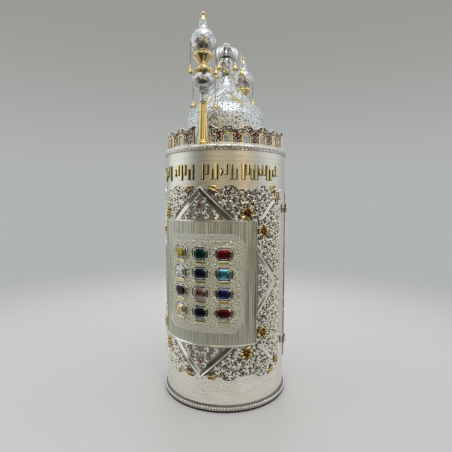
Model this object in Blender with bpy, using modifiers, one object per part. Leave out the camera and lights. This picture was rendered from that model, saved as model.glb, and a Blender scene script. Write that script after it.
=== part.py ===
# Sephardic torah case: an upright silver cylinder that opens like a book, with a domed crown
# and two bell finials standing on its top. Metres, +Z up, front at -Y, hinge at -X.
import math
import bpy
import bmesh

# driving sizes
bodyRadius = 0.150
wallThickness = 0.004
topHeight = 0.600
gap = 0.0003
turnSteps = 44
turnAngle = math.radians(360.0 / turnSteps)

padRadius = 0.1545
padHeight = 0.004
baseRimRadius = 0.155
baseRimTop = 0.0165
topRimRadius = 0.1528
topRimBottom = 0.586
plateThickness = 0.004

midHeight = 0.292
fieldHalfAngle = 79.0
fieldHalfHeight = 0.212
fieldRise = 0.0015
fieldSink = 0.0015
flowerRadius = 0.0145
flowerRise = 0.0024
flowerPlaces = {"inner": (40.0, 0.1575), "outer": (55.8, 0.1160)}
ringRadius = 0.021
ringHeight = 0.198
ringAngles = (-55.4, -24.6, 24.6, 55.4)
panelHalfAngle = 49.2
panelHalfHeight = 0.1395

plaqueHalfAngle = 38.4
plaqueHalfHeight = 0.1105
plaqueChamfer = 0.021
plaqueThickness = 0.0017
gemColumns = 3
gemRows = 4
gemPitch = 0.044
gemMiddle = 0.2935
gemWidth = 0.0262
gemHeight = 0.0200
gemThickness = 0.0029
settingWidth = 0.0385
settingHeight = 0.0320
settingCorner = 0.0080
settingRise = 0.0022
gemCorner = 0.0052
pocketCorner = 0.0055
pocketDepth = 0.0029

frameWidth = 0.0115
frameRidge = 0.0024
endApex = 0.216
endBase = 0.1415
endHalfAngle = 29.0
sideBaseAngle = 50.0
sideApexAngle = 73.0
sideHalfHeight = 0.072

galleryRadius = 0.144
galleryThickness = 0.0024
galleryStart = 7.0
galleryModules = 5
galleryPitch = 16.36
galleryPeak = 0.0405
galleryValley = 0.0330
archHalfWidth = 0.0075
archFoot = 0.0030
archSpring = 0.0145
archTop = 0.0228

finialRadius = 0.1365
finialSteps = 12

crownTurn = 21.4
crownSteps = 20
strapCount = 6
strapWidth = 0.0085
strapThickness = 0.0018
strapReach = 0.0410

hingeX = -0.1533
hingeClearance = 0.0004
knuckleRadius = 0.0029
knuckleBore = 0.0016
pinRadius = 0.0012
hingeBottom = 0.060
hingeTop = 0.540
knuckleCount = 3
leafInner = 0.1501
leafThickness = 0.0010
leafReach = 0.013
claspInner = 0.1504
claspReach = 0.1562
claspHalfWidth = 0.014
claspHalfHeight = 0.008
claspThickness = 0.0016
claspBossRadius = 0.012
claspHeights = (0.137, 0.460)

silver = (0.86, 0.86, 0.85)
gold = (0.83, 0.60, 0.22)
felt = (0.03, 0.03, 0.03)
gemColours = (
    (0.35, 0.30, 0.05), (0.02, 0.12, 0.05), (0.30, 0.01, 0.01),
    (0.75, 0.75, 0.72), (0.02, 0.03, 0.10), (0.10, 0.40, 0.50),
    (0.18, 0.03, 0.22), (0.60, 0.25, 0.28), (0.06, 0.05, 0.30),
    (0.65, 0.55, 0.35), (0.02, 0.02, 0.02), (0.35, 0.01, 0.02))

for item in list(bpy.data.objects):
    bpy.data.objects.remove(item, do_unlink=True)

caseCollection = bpy.data.collections.new("sephardic_torah_case")
cutterCollection = bpy.data.collections.new("cutters")
bpy.context.scene.collection.children.link(caseCollection)
bpy.context.scene.collection.children.link(cutterCollection)


# objects and modifiers

def addMaterial(item, colour, metallic, roughness):
    material = bpy.data.materials.new(item.name + "_finish")
    material.use_nodes = True
    shader = material.node_tree.nodes["Principled BSDF"]
    shader.inputs["Base Color"].default_value = (*colour, 1.0)
    shader.inputs["Metallic"].default_value = metallic
    shader.inputs["Roughness"].default_value = roughness
    item.data.materials.append(material)


def addPart(name, mesh, colour=silver, metallic=1.0, roughness=0.25):
    item = bpy.data.objects.new(name, mesh)
    caseCollection.objects.link(item)
    addMaterial(item, colour, metallic, roughness)
    return item


def addCutter(name, mesh):
    item = bpy.data.objects.new(name, mesh)
    cutterCollection.objects.link(item)
    item.hide_render = True
    item.display_type = "WIRE"
    return item


def meshFrom(name, bm):
    bmesh.ops.recalc_face_normals(bm, faces=bm.faces[:])
    mesh = bpy.data.meshes.new(name)
    bm.to_mesh(mesh)
    bm.free()
    return mesh


def addBoolean(item, tool, operation):
    modifier = item.modifiers.new(operation.lower() + "_" + tool.name, "BOOLEAN")
    modifier.operation = operation
    modifier.solver = "EXACT"
    modifier.object = tool


def addPlanarTidy(item):
    modifier = item.modifiers.new("merge_flat_faces", "DECIMATE")
    modifier.decimate_type = "DISSOLVE"
    modifier.angle_limit = math.radians(0.3)


def appliedMesh(item):
    # the mesh of an object with its modifiers applied, the object itself removed
    bpy.context.view_layer.update()
    graph = bpy.context.evaluated_depsgraph_get()
    mesh = bpy.data.meshes.new_from_object(item.evaluated_get(graph))
    mesh.transform(item.matrix_world)
    bpy.data.objects.remove(item, do_unlink=True)
    bm = bmesh.new()
    bm.from_mesh(mesh)
    bmesh.ops.remove_doubles(bm, verts=bm.verts[:], dist=0.00001)
    bmesh.ops.dissolve_limit(
        bm, angle_limit=math.radians(0.1), verts=bm.verts[:], edges=bm.edges[:])
    bm.to_mesh(mesh)
    bm.free()
    mesh.materials.clear()
    return mesh


# turned shapes

def profileMesh(name, points, closed):
    bm = bmesh.new()
    verts = [bm.verts.new((radius, 0.0, height)) for radius, height in points]
    for first, second in zip(verts, verts[1:]):
        bm.edges.new((first, second))
    if closed:
        bm.edges.new((verts[-1], verts[0]))
    mesh = bpy.data.meshes.new(name)
    bm.to_mesh(mesh)
    bm.free()
    return mesh


def addScrew(item, steps):
    modifier = item.modifiers.new("turn", "SCREW")
    modifier.axis = "Z"
    modifier.steps = steps
    modifier.render_steps = steps
    modifier.use_merge_vertices = True
    modifier.merge_threshold = 0.00005


def addTurned(name, points, steps, colour, closed=False, roughness=0.2):
    item = addPart(name, profileMesh(name, points, closed), colour, 1.0, roughness)
    addScrew(item, steps)
    return item


def arcPoints(centre, radius, startAngle, endAngle, count):
    # points round an arc in the (radius, height) plane, angles from the horizontal
    points = []
    for index in range(count + 1):
        angle = math.radians(startAngle + (endAngle - startAngle) * index / count)
        points.append((centre[0] + radius * math.cos(angle), centre[1] + radius * math.sin(angle)))
    return points


def boxMesh(name, low, high):
    bm = bmesh.new()
    bmesh.ops.create_cube(bm, size=1.0)
    for vert in bm.verts:
        for axis in range(3):
            vert.co[axis] = low[axis] if vert.co[axis] < 0 else high[axis]
    return meshFrom(name, bm)


beyond = 2 * bodyRadius
above = 2 * topHeight
frontSpace = addCutter("front_space", boxMesh(
    "front_space", (-beyond, -beyond, -beyond), (beyond, -gap / 2, above)))
backSpace = addCutter("back_space", boxMesh(
    "back_space", (-beyond, gap / 2, -beyond), (beyond, beyond, above)))
hingeRelief = addCutter("hinge_relief", boxMesh(
    "hinge_relief", (-beyond, -beyond, -beyond), (hingeX + hingeClearance, beyond, above)))


def addHalf(name, points, space, colour=silver, metallic=1.0, roughness=0.25, tools=()):
    # one half of a shape turned about the case's axis, a flat facet facing front and back
    item = addPart(name, profileMesh(name, points, True), colour, metallic, roughness)
    item.rotation_euler.z = turnAngle / 2
    addScrew(item, turnSteps)
    for tool, operation in tools:
        addBoolean(item, tool, operation)
    addBoolean(item, space, "INTERSECT")
    addPlanarTidy(item)
    return item


# flat work bent round the body: x runs round it, -y is outwards, z is the height

def onBody(arc, radius):
    # a point on the faceted cylinder, so that bent work lies flat on its facets
    turn = arc / bodyRadius
    first = math.floor(turn / turnAngle + 0.5) * turnAngle - turnAngle / 2
    share = (turn - first) / turnAngle
    second = first + turnAngle
    x = radius * ((1 - share) * math.sin(first) + share * math.sin(second))
    y = -radius * ((1 - share) * math.cos(first) + share * math.cos(second))
    return x, y


def bend(mesh, radius=bodyRadius):
    bm = bmesh.new()
    bm.from_mesh(mesh)
    reachSteps = int(math.pi / turnAngle)
    for index in range(-reachSteps, reachSteps + 1):
        cut = (index + 0.5) * turnAngle * bodyRadius
        bmesh.ops.bisect_plane(
            bm, geom=bm.verts[:] + bm.edges[:] + bm.faces[:], dist=0.000001,
            plane_co=(cut, 0, 0), plane_no=(1, 0, 0))
    for vert in bm.verts:
        vert.co.x, vert.co.y = onBody(vert.co.x, radius - vert.co.y)
    bmesh.ops.remove_doubles(bm, verts=bm.verts[:], dist=0.00001)
    bm.to_mesh(mesh)
    bm.free()
    return mesh


def flatPlate(name, outlines, inner, outer):
    # a plate from closed outlines of (arc, height), between two distances from the body
    curve = bpy.data.curves.new(name, "CURVE")
    curve.dimensions = "2D"
    curve.fill_mode = "BOTH"
    curve.extrude = (outer - inner) / 2
    for outline in outlines:
        spline = curve.splines.new("POLY")
        spline.points.add(len(outline) - 1)
        spline.use_cyclic_u = True
        for point, (x, z) in zip(spline.points, outline):
            point.co = (x, z, 0.0, 1.0)
    item = bpy.data.objects.new(name, curve)
    caseCollection.objects.link(item)
    item.rotation_euler.x = math.pi / 2
    item.location.y = -(inner + outer) / 2
    return appliedMesh(item)


def arcLength(angle):
    return math.radians(angle) * bodyRadius


def rectangle(halfWidth, halfHeight, middle, centre=0.0):
    return [(centre - halfWidth, middle - halfHeight), (centre + halfWidth, middle - halfHeight),
            (centre + halfWidth, middle + halfHeight), (centre - halfWidth, middle + halfHeight)]


def octagon(halfWidth, halfHeight, corner, middle, centre=0.0):
    outline = []
    for signX, signZ, order in ((1, -1, 0), (1, 1, 1), (-1, 1, 0), (-1, -1, 1)):
        near = (centre + signX * (halfWidth - corner), middle + signZ * halfHeight)
        far = (centre + signX * halfWidth, middle + signZ * (halfHeight - corner))
        outline.extend((far, near) if order else (near, far))
    return outline


def fieldOutline():
    # the raised ornament field: its long edges dip between the tops of the wire rings
    edge = ringHeight + ringRadius * 0.62
    spread = math.degrees(math.asin((edge - ringHeight) / ringRadius))

    def dip(angle):
        return arcLength(angle), edge - 0.001 - 0.001 * (angle / fieldHalfAngle) ** 2

    top = [dip(-fieldHalfAngle)]
    for index, angle in enumerate(ringAngles):
        if index:
            top.append(dip((ringAngles[index - 1] + angle) / 2))
        top.extend(arcPoints((arcLength(angle), ringHeight), ringRadius, 180 - spread, spread, 4))
    top.append(dip(fieldHalfAngle))
    outline = [(x, midHeight + z) for x, z in top]
    outline.extend((x, midHeight - z) for x, z in reversed(top))
    return outline


def triangleFrame(name, corners):
    # three mitred strips with a ridge along their middle
    def inset(amount):
        moved = []
        count = len(corners)
        for index in range(count):
            before, here, after = corners[index - 1], corners[index], corners[(index + 1) % count]
            first = math.atan2(here[1] - before[1], here[0] - before[0])
            second = math.atan2(after[1] - here[1], after[0] - here[0])
            halfTurn = (second - first) / 2
            along = (first + second) / 2 + math.pi / 2
            if math.cos(halfTurn) < 0:
                along += math.pi
            length = amount / abs(math.cos(halfTurn))
            moved.append((here[0] + length * math.cos(along), here[1] + length * math.sin(along)))
        return moved
    lift = fieldRise + gap
    loops = [(0.0, lift), (frameWidth * 0.4, lift + frameRidge), (frameWidth * 0.6, lift + frameRidge),
             (frameWidth, lift)]
    bm = bmesh.new()
    rows = []
    for amount, height in loops:
        rows.append([bm.verts.new((x, -height, z)) for x, z in inset(amount)])
    for index, row in enumerate(rows):
        following = rows[(index + 1) % len(rows)]
        for corner in range(len(corners)):
            beside = (corner + 1) % len(corners)
            bm.faces.new((row[corner], row[beside], following[beside], following[corner]))
    return bend(meshFrom(name, bm))


def addFrames(side, turn):
    wide = arcLength(endHalfAngle)
    near = arcLength(sideBaseAngle)
    far = arcLength(sideApexAngle)
    shapes = {
        "upper": [(-wide, midHeight + endBase), (wide, midHeight + endBase), (0, midHeight + endApex)],
        "lower": [(0, midHeight - endApex), (wide, midHeight - endBase), (-wide, midHeight - endBase)],
        "right": [(near, midHeight - sideHalfHeight), (far, midHeight), (near, midHeight + sideHalfHeight)],
        "left": [(-near, midHeight + sideHalfHeight), (-far, midHeight), (-near, midHeight - sideHalfHeight)]}
    for place, corners in shapes.items():
        name = side + "_" + place + "_triangle_frame"
        item = addPart(name, triangleFrame(name, corners), silver, 1.0, 0.08)
        item.rotation_euler.z = turn


# the two halves of the body

def addBodyHalf(side, space, turn):
    panel = rectangle(arcLength(panelHalfAngle), panelHalfHeight, midHeight)
    field = addCutter(side + "_field", bend(flatPlate(
        side + "_field", [fieldOutline(), panel], -fieldSink, fieldRise)))
    field.rotation_euler.z = turn
    inside = bodyRadius - wallThickness
    bottom = padHeight + gap + plateThickness + gap
    top = topHeight - plateThickness - gap
    addHalf(side + "_wall", [(bodyRadius, top), (bodyRadius, bottom), (inside, bottom), (inside, top)],
            space, roughness=0.3, tools=[(field, "UNION")])
    rimInside = bodyRadius + gap
    base = padHeight + gap
    addHalf(side + "_base", [
        (baseRimRadius, baseRimTop - 0.003), (baseRimRadius, base), (0.0, base),
        (0.0, base + plateThickness), (rimInside, base + plateThickness),
        (rimInside, baseRimTop), (baseRimRadius - 0.003, baseRimTop)],
        space, tools=[(hingeRelief, "DIFFERENCE")])
    addHalf(side + "_top", [
        (topRimRadius, topHeight - 0.004), (topRimRadius, topRimBottom), (rimInside, topRimBottom),
        (rimInside, topHeight - plateThickness), (0.0, topHeight - plateThickness),
        (0.0, topHeight), (topRimRadius - 0.003, topHeight)], space)
    addHalf(side + "_base_pad", [(padRadius, padHeight), (padRadius, 0.0), (0.0, 0.0), (0.0, padHeight)],
            space, felt, 0.0, 0.9, [(hingeRelief, "DIFFERENCE")])
    addFrames(side, turn)


def archOutline(centre):
    # a pointed arch opening, narrower round the ring than on the body by the ratio of radii
    wide = archHalfWidth * bodyRadius / galleryRadius
    foot = topHeight + gap
    shoulder = archSpring + (archTop - archSpring) * 0.65
    right = [(wide, archFoot), (wide, archSpring), (wide * 0.65, shoulder)]
    points = right + [(0.0, archTop)] + [(-x, z) for x, z in reversed(right)]
    return [(centre + x, foot + z) for x, z in points]


def galleryOutline(first, last):
    # straight foot, cresting that peaks over each arch and dips over each stone
    foot = topHeight + gap
    outline = [(arcLength(first), foot), (arcLength(last), foot)]
    steps = galleryModules * 4
    for index in range(steps, -1, -1):
        share = abs(math.cos(math.pi * index / 4))
        height = galleryValley + (galleryPeak - galleryValley) * share ** 2
        outline.append((arcLength(first + (last - first) * index / steps), foot + height))
    return outline


def addGallery(side, turn):
    length = galleryModules * galleryPitch
    for place, mirror in (("right", 1), ("left", -1)):
        first, last = sorted((mirror * galleryStart, mirror * (galleryStart + length)))
        outlines = [galleryOutline(first, last)]
        for index in range(1, galleryModules):
            centre = mirror * (galleryStart + index * galleryPitch)
            outlines.append(archOutline(arcLength(centre)))
        name = side + "_gallery_" + place
        plate = flatPlate(name, outlines, -galleryThickness / 2, galleryThickness / 2)
        item = addPart(name, bend(plate, galleryRadius), silver, 1.0, 0.35)
        item.rotation_euler.z = turn


# breastplate plaque and its stones

def gemPlaces():
    for row in range(gemRows):
        height = gemMiddle + gemPitch * ((gemRows - 1) / 2 - row)
        for column in range(gemColumns):
            yield row, column, (column - 1) * 2.5 * turnAngle, height


def addPlaque():
    outline = octagon(arcLength(plaqueHalfAngle), plaqueHalfHeight, plaqueChamfer, midHeight)
    blank = flatPlate("plaque_blank", [outline], gap, gap + plaqueThickness)
    plaque = bpy.data.objects.new("plaque_blank", blank)
    caseCollection.objects.link(plaque)
    settings = []
    pockets = []
    for row, column, turn, height in gemPlaces():
        arc = turn * bodyRadius
        settings.append(octagon(settingWidth / 2, settingHeight / 2, settingCorner, height, arc))
        pockets.append(octagon(gemWidth / 2 + gap, gemHeight / 2 + gap, pocketCorner, height, arc))
    top = gap + plaqueThickness + settingRise
    bosses = addCutter("setting_bosses", flatPlate("setting_bosses", settings, 0.001, top))
    holes = addCutter("gem_pockets", flatPlate("gem_pockets", pockets, top - pocketDepth, top + 0.002))
    addBoolean(plaque, bosses, "UNION")
    addBoolean(plaque, holes, "DIFFERENCE")
    addPart("breastplate_plaque", bend(appliedMesh(plaque)), silver, 1.0, 0.3)
    return top - pocketDepth


def gemMesh(name):
    # a step-cut stone: flat back, short girdle, sloped crown and a broad table
    bm = bmesh.new()
    loops = [(0.0, 0.0), (0.0, 0.4), (0.0030, 1.0)]
    rows = []
    for inset, share in loops:
        outline = octagon(gemWidth / 2 - inset, gemHeight / 2 - inset, gemCorner - inset * 0.6, 0.0)
        rows.append([bm.verts.new((x, -share * gemThickness, z)) for x, z in outline])
    for lower, upper in zip(rows, rows[1:]):
        for index in range(8):
            beside = (index + 1) % 8
            bm.faces.new((lower[index], lower[beside], upper[beside], upper[index]))
    bm.faces.new(rows[0])
    bm.faces.new(rows[-1])
    return meshFrom(name, bm)


def addGems(floor):
    for row, column, turn, height in gemPlaces():
        name = "gem_row{}_column{}".format(row + 1, column + 1)
        colour = gemColours[row * gemColumns + column]
        gem = addPart(name, gemMesh(name), colour, 0.0, 0.05)
        x, y = onBody(turn * bodyRadius, bodyRadius + floor)
        out = 1.0 + gap / math.hypot(x, y)
        gem.location = (x * out, y * out, height)
        gem.rotation_euler.z = turn


def addFlowers():
    # a gilt flower near each corner of the panel and another further out, flat on the facet it sits on
    lift = bodyRadius + fieldRise + gap
    for place, (angle, height) in flowerPlaces.items():
        for end, signZ in (("upper", 1), ("lower", -1)):
            for hand, signX in (("left", -1), ("right", 1)):
                bm = bmesh.new()
                bmesh.ops.create_cone(
                    bm, cap_ends=True, segments=10, radius1=flowerRadius, radius2=flowerRadius * 0.4,
                    depth=flowerRise)
                bmesh.ops.translate(bm, verts=bm.verts[:], vec=(0, 0, flowerRise / 2))
                name = "_".join((end, hand, place, "flower"))
                flower = addPart(name, meshFrom(name, bm), gold, 1.0, 0.3)
                x, y = onBody(signX * arcLength(angle), lift)
                facet = math.floor(math.radians(angle) / turnAngle + 0.5) * turnAngle
                flower.location = (x, y, midHeight + signZ * height)
                flower.rotation_euler = (math.pi / 2, 0.0, signX * facet)


# finials

def addFinial(side, turn):
    foot = topHeight + gap
    post = [(0.0, 0.6932), (0.0078, 0.6932), (0.0118, 0.6090), (0.0136, 0.6070), (0.0136, foot), (0.0, foot)]
    bulb = arcPoints((0.0067, 0.7388), 0.0184, 68, -60, 5)
    lowerBulb = [(0.0, 0.7569)] + bulb + [(0.0125, 0.7192), (0.0120, 0.7122), (0.0074, 0.7110),
                                          (0.0074, 0.6935), (0.0, 0.6935)]
    cup = [(0.0, 0.7972), (0.0204, 0.7972), (0.0214, 0.7910), (0.0120, 0.7785), (0.0080, 0.7735),
           (0.0104, 0.7664), (0.0210, 0.7598), (0.0210, 0.7572), (0.0, 0.7572)]
    head = arcPoints((0.0075, 0.8205), 0.0192, 64, -58, 4)
    upperBulb = [(0.0, 0.8645), (0.0085, 0.8645), (0.0105, 0.8490)] + head + [(0.0172, 0.7976), (0.0, 0.7976)]
    tip = [(0.0, 0.8853), (0.0035, 0.8840), (0.0045, 0.8815), (0.0028, 0.8770), (0.0055, 0.8715),
           (0.0066, 0.8648), (0.0, 0.8648)]
    x = finialRadius * math.sin(turn)
    y = -finialRadius * math.cos(turn)
    for name, points, colour in (("post", post, gold), ("lower_bulb", lowerBulb, silver), ("cup", cup, gold),
                                 ("upper_bulb", upperBulb, silver), ("tip", tip, gold)):
        item = addTurned(side + "_finial_" + name, points, finialSteps, colour, roughness=0.12)
        item.location = (x, y, 0.0)


# crown

def strapOutline():
    # side view of one canopy strap: out from the hub, over the shoulder and down
    centre = (0.0160, 0.8270)
    rise = 0.0285
    across = strapReach - centre[0]
    upper = [(0.002, centre[1] + rise)]
    lower = [(0.002, centre[1] + rise - strapThickness * 1.4)]
    for index in range(6):
        angle = math.radians(90 - 112 * index / 5)
        outwards = (math.cos(angle), math.sin(angle))
        upper.append((centre[0] + across * outwards[0], centre[1] + rise * outwards[1]))
        lower.append((centre[0] + (across - strapThickness) * outwards[0],
                      centre[1] + (rise - strapThickness) * outwards[1]))
    return upper + lower[::-1]


def addCrown():
    foot = topHeight + gap
    outside = [(0.0, 0.8340), (0.0125, 0.8338), (0.0190, 0.8270), (0.0206, 0.8130), (0.0186, 0.7900),
               (0.0214, 0.7790), (0.0273, 0.7620), (0.0365, 0.7490), (0.0485, 0.7350), (0.0650, 0.7180),
               (0.0815, 0.7070), (0.0905, 0.6950), (0.0965, 0.6820), (0.0990, 0.6680), (0.0990, 0.6400),
               (0.0975, 0.6100), (0.0990, foot)]
    inside = [(0.0940, foot), (0.0940, 0.6600), (0.0720, 0.6990), (0.0, 0.7560)]
    dome = addTurned("crown_dome", outside + inside, crownSteps, silver, roughness=0.15)
    dome.rotation_euler.z = math.radians(crownTurn)

    hub = [(0.0, 0.8570), (0.0085, 0.8565), (0.0095, 0.8500), (0.0165, 0.8405), (0.0165, 0.8355),
           (0.0125, 0.8343), (0.0, 0.8343)]
    canopy = addTurned("crown_canopy", hub, 12, silver, roughness=0.15)
    canopy.rotation_euler.z = math.radians(crownTurn)
    for index in range(strapCount):
        strap = addCutter("strap_{}".format(index + 1), flatPlate(
            "strap", [strapOutline()], -strapWidth / 2, strapWidth / 2))
        strap.rotation_euler.z = math.radians(crownTurn - 90 - 25 + index * 360 / strapCount)
        addBoolean(canopy, strap, "UNION")

    knob = [(0.0, 0.8710), (0.0040, 0.8700), (0.0080, 0.8660), (0.0080, 0.8630), (0.0050, 0.8590),
            (0.0060, 0.8575), (0.0, 0.8573)]
    addTurned("crown_knob", knob, 10, silver, roughness=0.15)


# hinge and clasps

def cylinderMesh(name, radius, low, high, sides=10):
    bm = bmesh.new()
    bmesh.ops.create_cone(bm, cap_ends=True, segments=sides, radius1=radius, radius2=radius, depth=high - low)
    bmesh.ops.translate(bm, verts=bm.verts[:], vec=(0, 0, (high + low) / 2))
    return meshFrom(name, bm)


def addHingeLeaf(name, sign, own):
    # a leaf along the wall, with its tabs and knuckles, around the axis at the object's origin
    inner = -leafInner - hingeX
    outer = inner - leafThickness
    clear = knuckleRadius + 2 * gap
    pitch = (hingeTop - hingeBottom) / knuckleCount

    def span(y0, y1):
        return sorted((sign * y0, sign * y1))
    y0, y1 = span(clear, leafReach)
    leaf = addPart(name, boxMesh(name, (outer, y0, hingeBottom), (inner, y1, hingeTop)), silver, 1.0, 0.3)
    leaf.location.x = hingeX
    for index in own:
        low = hingeBottom + index * pitch + gap
        high = hingeBottom + (index + 1) * pitch - gap
        t0, t1 = span(0.0, clear + 0.0005)
        tab = addCutter(name + "_tab", boxMesh("tab", (outer, t0, low), (inner, t1, high)))
        knuckle = addCutter(name + "_knuckle", cylinderMesh("knuckle", knuckleRadius, low, high))
        for tool in (tab, knuckle):
            tool.location.x = hingeX
            addBoolean(leaf, tool, "UNION")
    bore = addCutter(name + "_bore", cylinderMesh("bore", knuckleBore, hingeBottom - 0.01, hingeTop + 0.01))
    bore.location.x = hingeX
    addBoolean(leaf, bore, "DIFFERENCE")


def addHinge():
    addHingeLeaf("front_hinge_leaf", -1, range(0, knuckleCount, 2))
    addHingeLeaf("back_hinge_leaf", 1, range(1, knuckleCount, 2))
    pin = addPart("hinge_pin", cylinderMesh("hinge_pin", pinRadius, hingeBottom, hingeTop), silver, 1.0, 0.3)
    pin.location.x = hingeX


def addClasp(name, height):
    # a flat tongue over the seam with a flower boss; it swings with the back half
    low = (claspInner, -claspHalfWidth, height - claspHalfHeight)
    high = (claspInner + claspThickness, claspHalfWidth, height + claspHalfHeight)
    tongue = addPart(name, boxMesh(name, low, high), silver)
    depth = claspReach - claspInner
    boss = addCutter(name + "_boss", cylinderMesh(name + "_boss", claspBossRadius, 0.0, depth - 0.001, 8))
    top = addCutter(name + "_top", cylinderMesh(name + "_top", claspBossRadius / 2, 0.0, depth, 8))
    for tool in (boss, top):
        tool.rotation_euler.y = math.pi / 2
        tool.location = (claspInner, 0.0, height)
        addBoolean(tongue, tool, "UNION")


for side, space, turn in (("front", frontSpace, 0.0), ("back", backSpace, math.pi)):
    addBodyHalf(side, space, turn)
    addGallery(side, turn)
    addFinial(side, turn)
addGems(addPlaque())
addFlowers()
addCrown()
addHinge()
for claspName, claspHeight in zip(("lower_clasp", "upper_clasp"), claspHeights):
    addClasp(claspName, claspHeight)
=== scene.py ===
import math
import random
import bmesh
import bpy
import numpy as np
from mathutils import Matrix, Vector, noise


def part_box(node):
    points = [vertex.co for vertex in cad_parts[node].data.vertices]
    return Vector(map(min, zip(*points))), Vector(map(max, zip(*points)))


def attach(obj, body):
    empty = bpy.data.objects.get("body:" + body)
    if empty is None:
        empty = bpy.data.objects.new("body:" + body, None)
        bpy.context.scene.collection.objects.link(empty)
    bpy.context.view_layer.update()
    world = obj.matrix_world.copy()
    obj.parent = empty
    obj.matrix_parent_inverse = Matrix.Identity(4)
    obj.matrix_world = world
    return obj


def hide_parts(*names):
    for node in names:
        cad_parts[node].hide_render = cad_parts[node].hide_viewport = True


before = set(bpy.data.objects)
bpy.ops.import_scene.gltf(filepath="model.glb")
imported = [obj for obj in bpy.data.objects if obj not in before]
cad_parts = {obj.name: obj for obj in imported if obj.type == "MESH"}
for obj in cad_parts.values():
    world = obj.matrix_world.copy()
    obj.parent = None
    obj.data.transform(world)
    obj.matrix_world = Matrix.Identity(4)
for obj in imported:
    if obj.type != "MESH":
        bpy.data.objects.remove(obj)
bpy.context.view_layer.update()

# driving sizes of the case, metres; angles round it are degrees from the middle of the front
case = {
    "radius": 0.150,
    "inside": 0.146,
    "seam": 0.00015,            # half the gap between the two halves
    "middle": 0.292,            # height of the middle of the ornament
    "fieldAngle": 79.0,
    "ringRadius": 0.021,
    "ringHeight": 0.198,
    "ringDip": 0.62,            # where the field's edge leaves a ring, as a share of its radius
    "ringAngles": (-55.4, -24.6, 24.6, 55.4),
    "panelAngle": 49.2,
    "panelHeight": 0.1395,
    "claspFace": 0.1563,
    "standing": 0.6003,         # foot of what stands on the top plate
}
bodyRadius, caseMiddle, standing = case["radius"], case["middle"], case["standing"]
sides = {"front": 1, "back": -1}
bodies = {"front": "front_half", "back": "back_half"}
wallBottom, wallTop = (corner[2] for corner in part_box("front_wall"))
fieldBottom = caseMiddle - case["ringHeight"] - case["ringRadius"] * case["ringDip"]
fieldTop = 2 * caseMiddle - fieldBottom


# shader nodes: an input may be another node's socket or a plain value

def feed(tree, socket, value):
    if isinstance(value, bpy.types.NodeSocket):
        tree.links.new(value, socket)
    else:
        socket.default_value = (*value[:3], 1.0) if socket.type == "RGBA" else value


def addNode(tree, kind, inputs=None, **settings):
    node = tree.nodes.new(kind if kind.startswith("NodeGroup") else "ShaderNode" + kind)
    for key, value in settings.items():
        setattr(node, key, value)
    for key, value in (inputs or {}).items():
        feed(tree, node.inputs[key], value)
    return node


def addMath(tree, operation, *values):
    return addNode(tree, "Math", dict(enumerate(values)), operation=operation).outputs[0]


def addVector(tree, operation, values, result="Vector"):
    return addNode(tree, "VectorMath", values, operation=operation).outputs[result]


def addNoise(tree, place, scale, detail, roughness=0.5):
    return addNode(tree, "TexNoise", {"Vector": place, "Scale": scale, "Detail": detail,
                                      "Roughness": roughness}).outputs["Fac"]


def addRange(tree, value, low, high, top=1.0, **settings):
    return addNode(tree, "MapRange", {"Value": value, "From Min": low, "From Max": high, "To Max": top},
                   **settings).outputs["Result"]


def addMix(tree, share, first, second):
    return addNode(tree, "Mix", {"Factor": share, 6: first, 7: second}, data_type="RGBA").outputs[2]


def newGroup(name, inputs, outputs):
    # a socket is given by its kind, or by the default of a plain number
    tree = bpy.data.node_groups.new(name, "ShaderNodeTree")
    for way, sockets in (("INPUT", inputs), ("OUTPUT", outputs)):
        for label, kind in sockets.items():
            plain = not isinstance(kind, str)
            socket = tree.interface.new_socket(label, in_out=way,
                                               socket_type="NodeSocket" + ("Float" if plain else kind))
            if plain:
                socket.default_value = kind
    return tree, addNode(tree, "NodeGroupInput").outputs, addNode(tree, "NodeGroupOutput").inputs


def brushedGrain():
    # long fine scratches: Across is how many to the metre, Along how slowly they end
    tree, given, result = newGroup("brushedGrain", {"Vector": "Vector", "Across": 900.0, "Along": 20.0},
                                   {"Height": "Float", "Tone": "Float"})
    stretch = addNode(tree, "CombineXYZ", {"X": given["Across"], "Y": given["Along"], "Z": 1.0}).outputs[0]
    scaled = addVector(tree, "MULTIPLY", {0: given["Vector"], 1: stretch})
    broad = addNoise(tree, addVector(tree, "SCALE", {0: scaled, "Scale": 0.16}), 1.0, 3.0, 0.6)
    feed(tree, result["Height"], addNoise(tree, scaled, 1.0, 4.0, 0.65))
    feed(tree, result["Tone"], addRange(tree, broad, 0.38, 0.62))
    return tree


def hammerMarks():
    # overlapping round planishing marks
    tree, given, result = newGroup("hammerMarks", {
        "Vector": "Vector", "Scale": 150.0, "Low": 0.40, "High": 0.60}, {"Height": "Float", "Tone": "Float"})
    marks = addNode(tree, "TexVoronoi", {"Vector": given["Vector"], "Scale": given["Scale"],
                                         "Smoothness": 0.35, "Randomness": 1.0}, feature="SMOOTH_F1")
    grit = addNoise(tree, given["Vector"], given["Scale"], 3.0)
    feed(tree, result["Height"], marks.outputs["Distance"])
    feed(tree, result["Tone"], addRange(tree, grit, given["Low"], given["High"]))
    return tree


def reachFromAxis():
    # distance from the case's own axis
    tree, given, result = newGroup("reachFromAxis", {"Vector": "Vector"}, {"Reach": "Float"})
    flat = addVector(tree, "MULTIPLY", {0: given["Vector"], 1: (1.0, 1.0, 0.0)})
    feed(tree, result["Reach"], addVector(tree, "LENGTH", {0: flat}, "Value"))
    return tree


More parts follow.
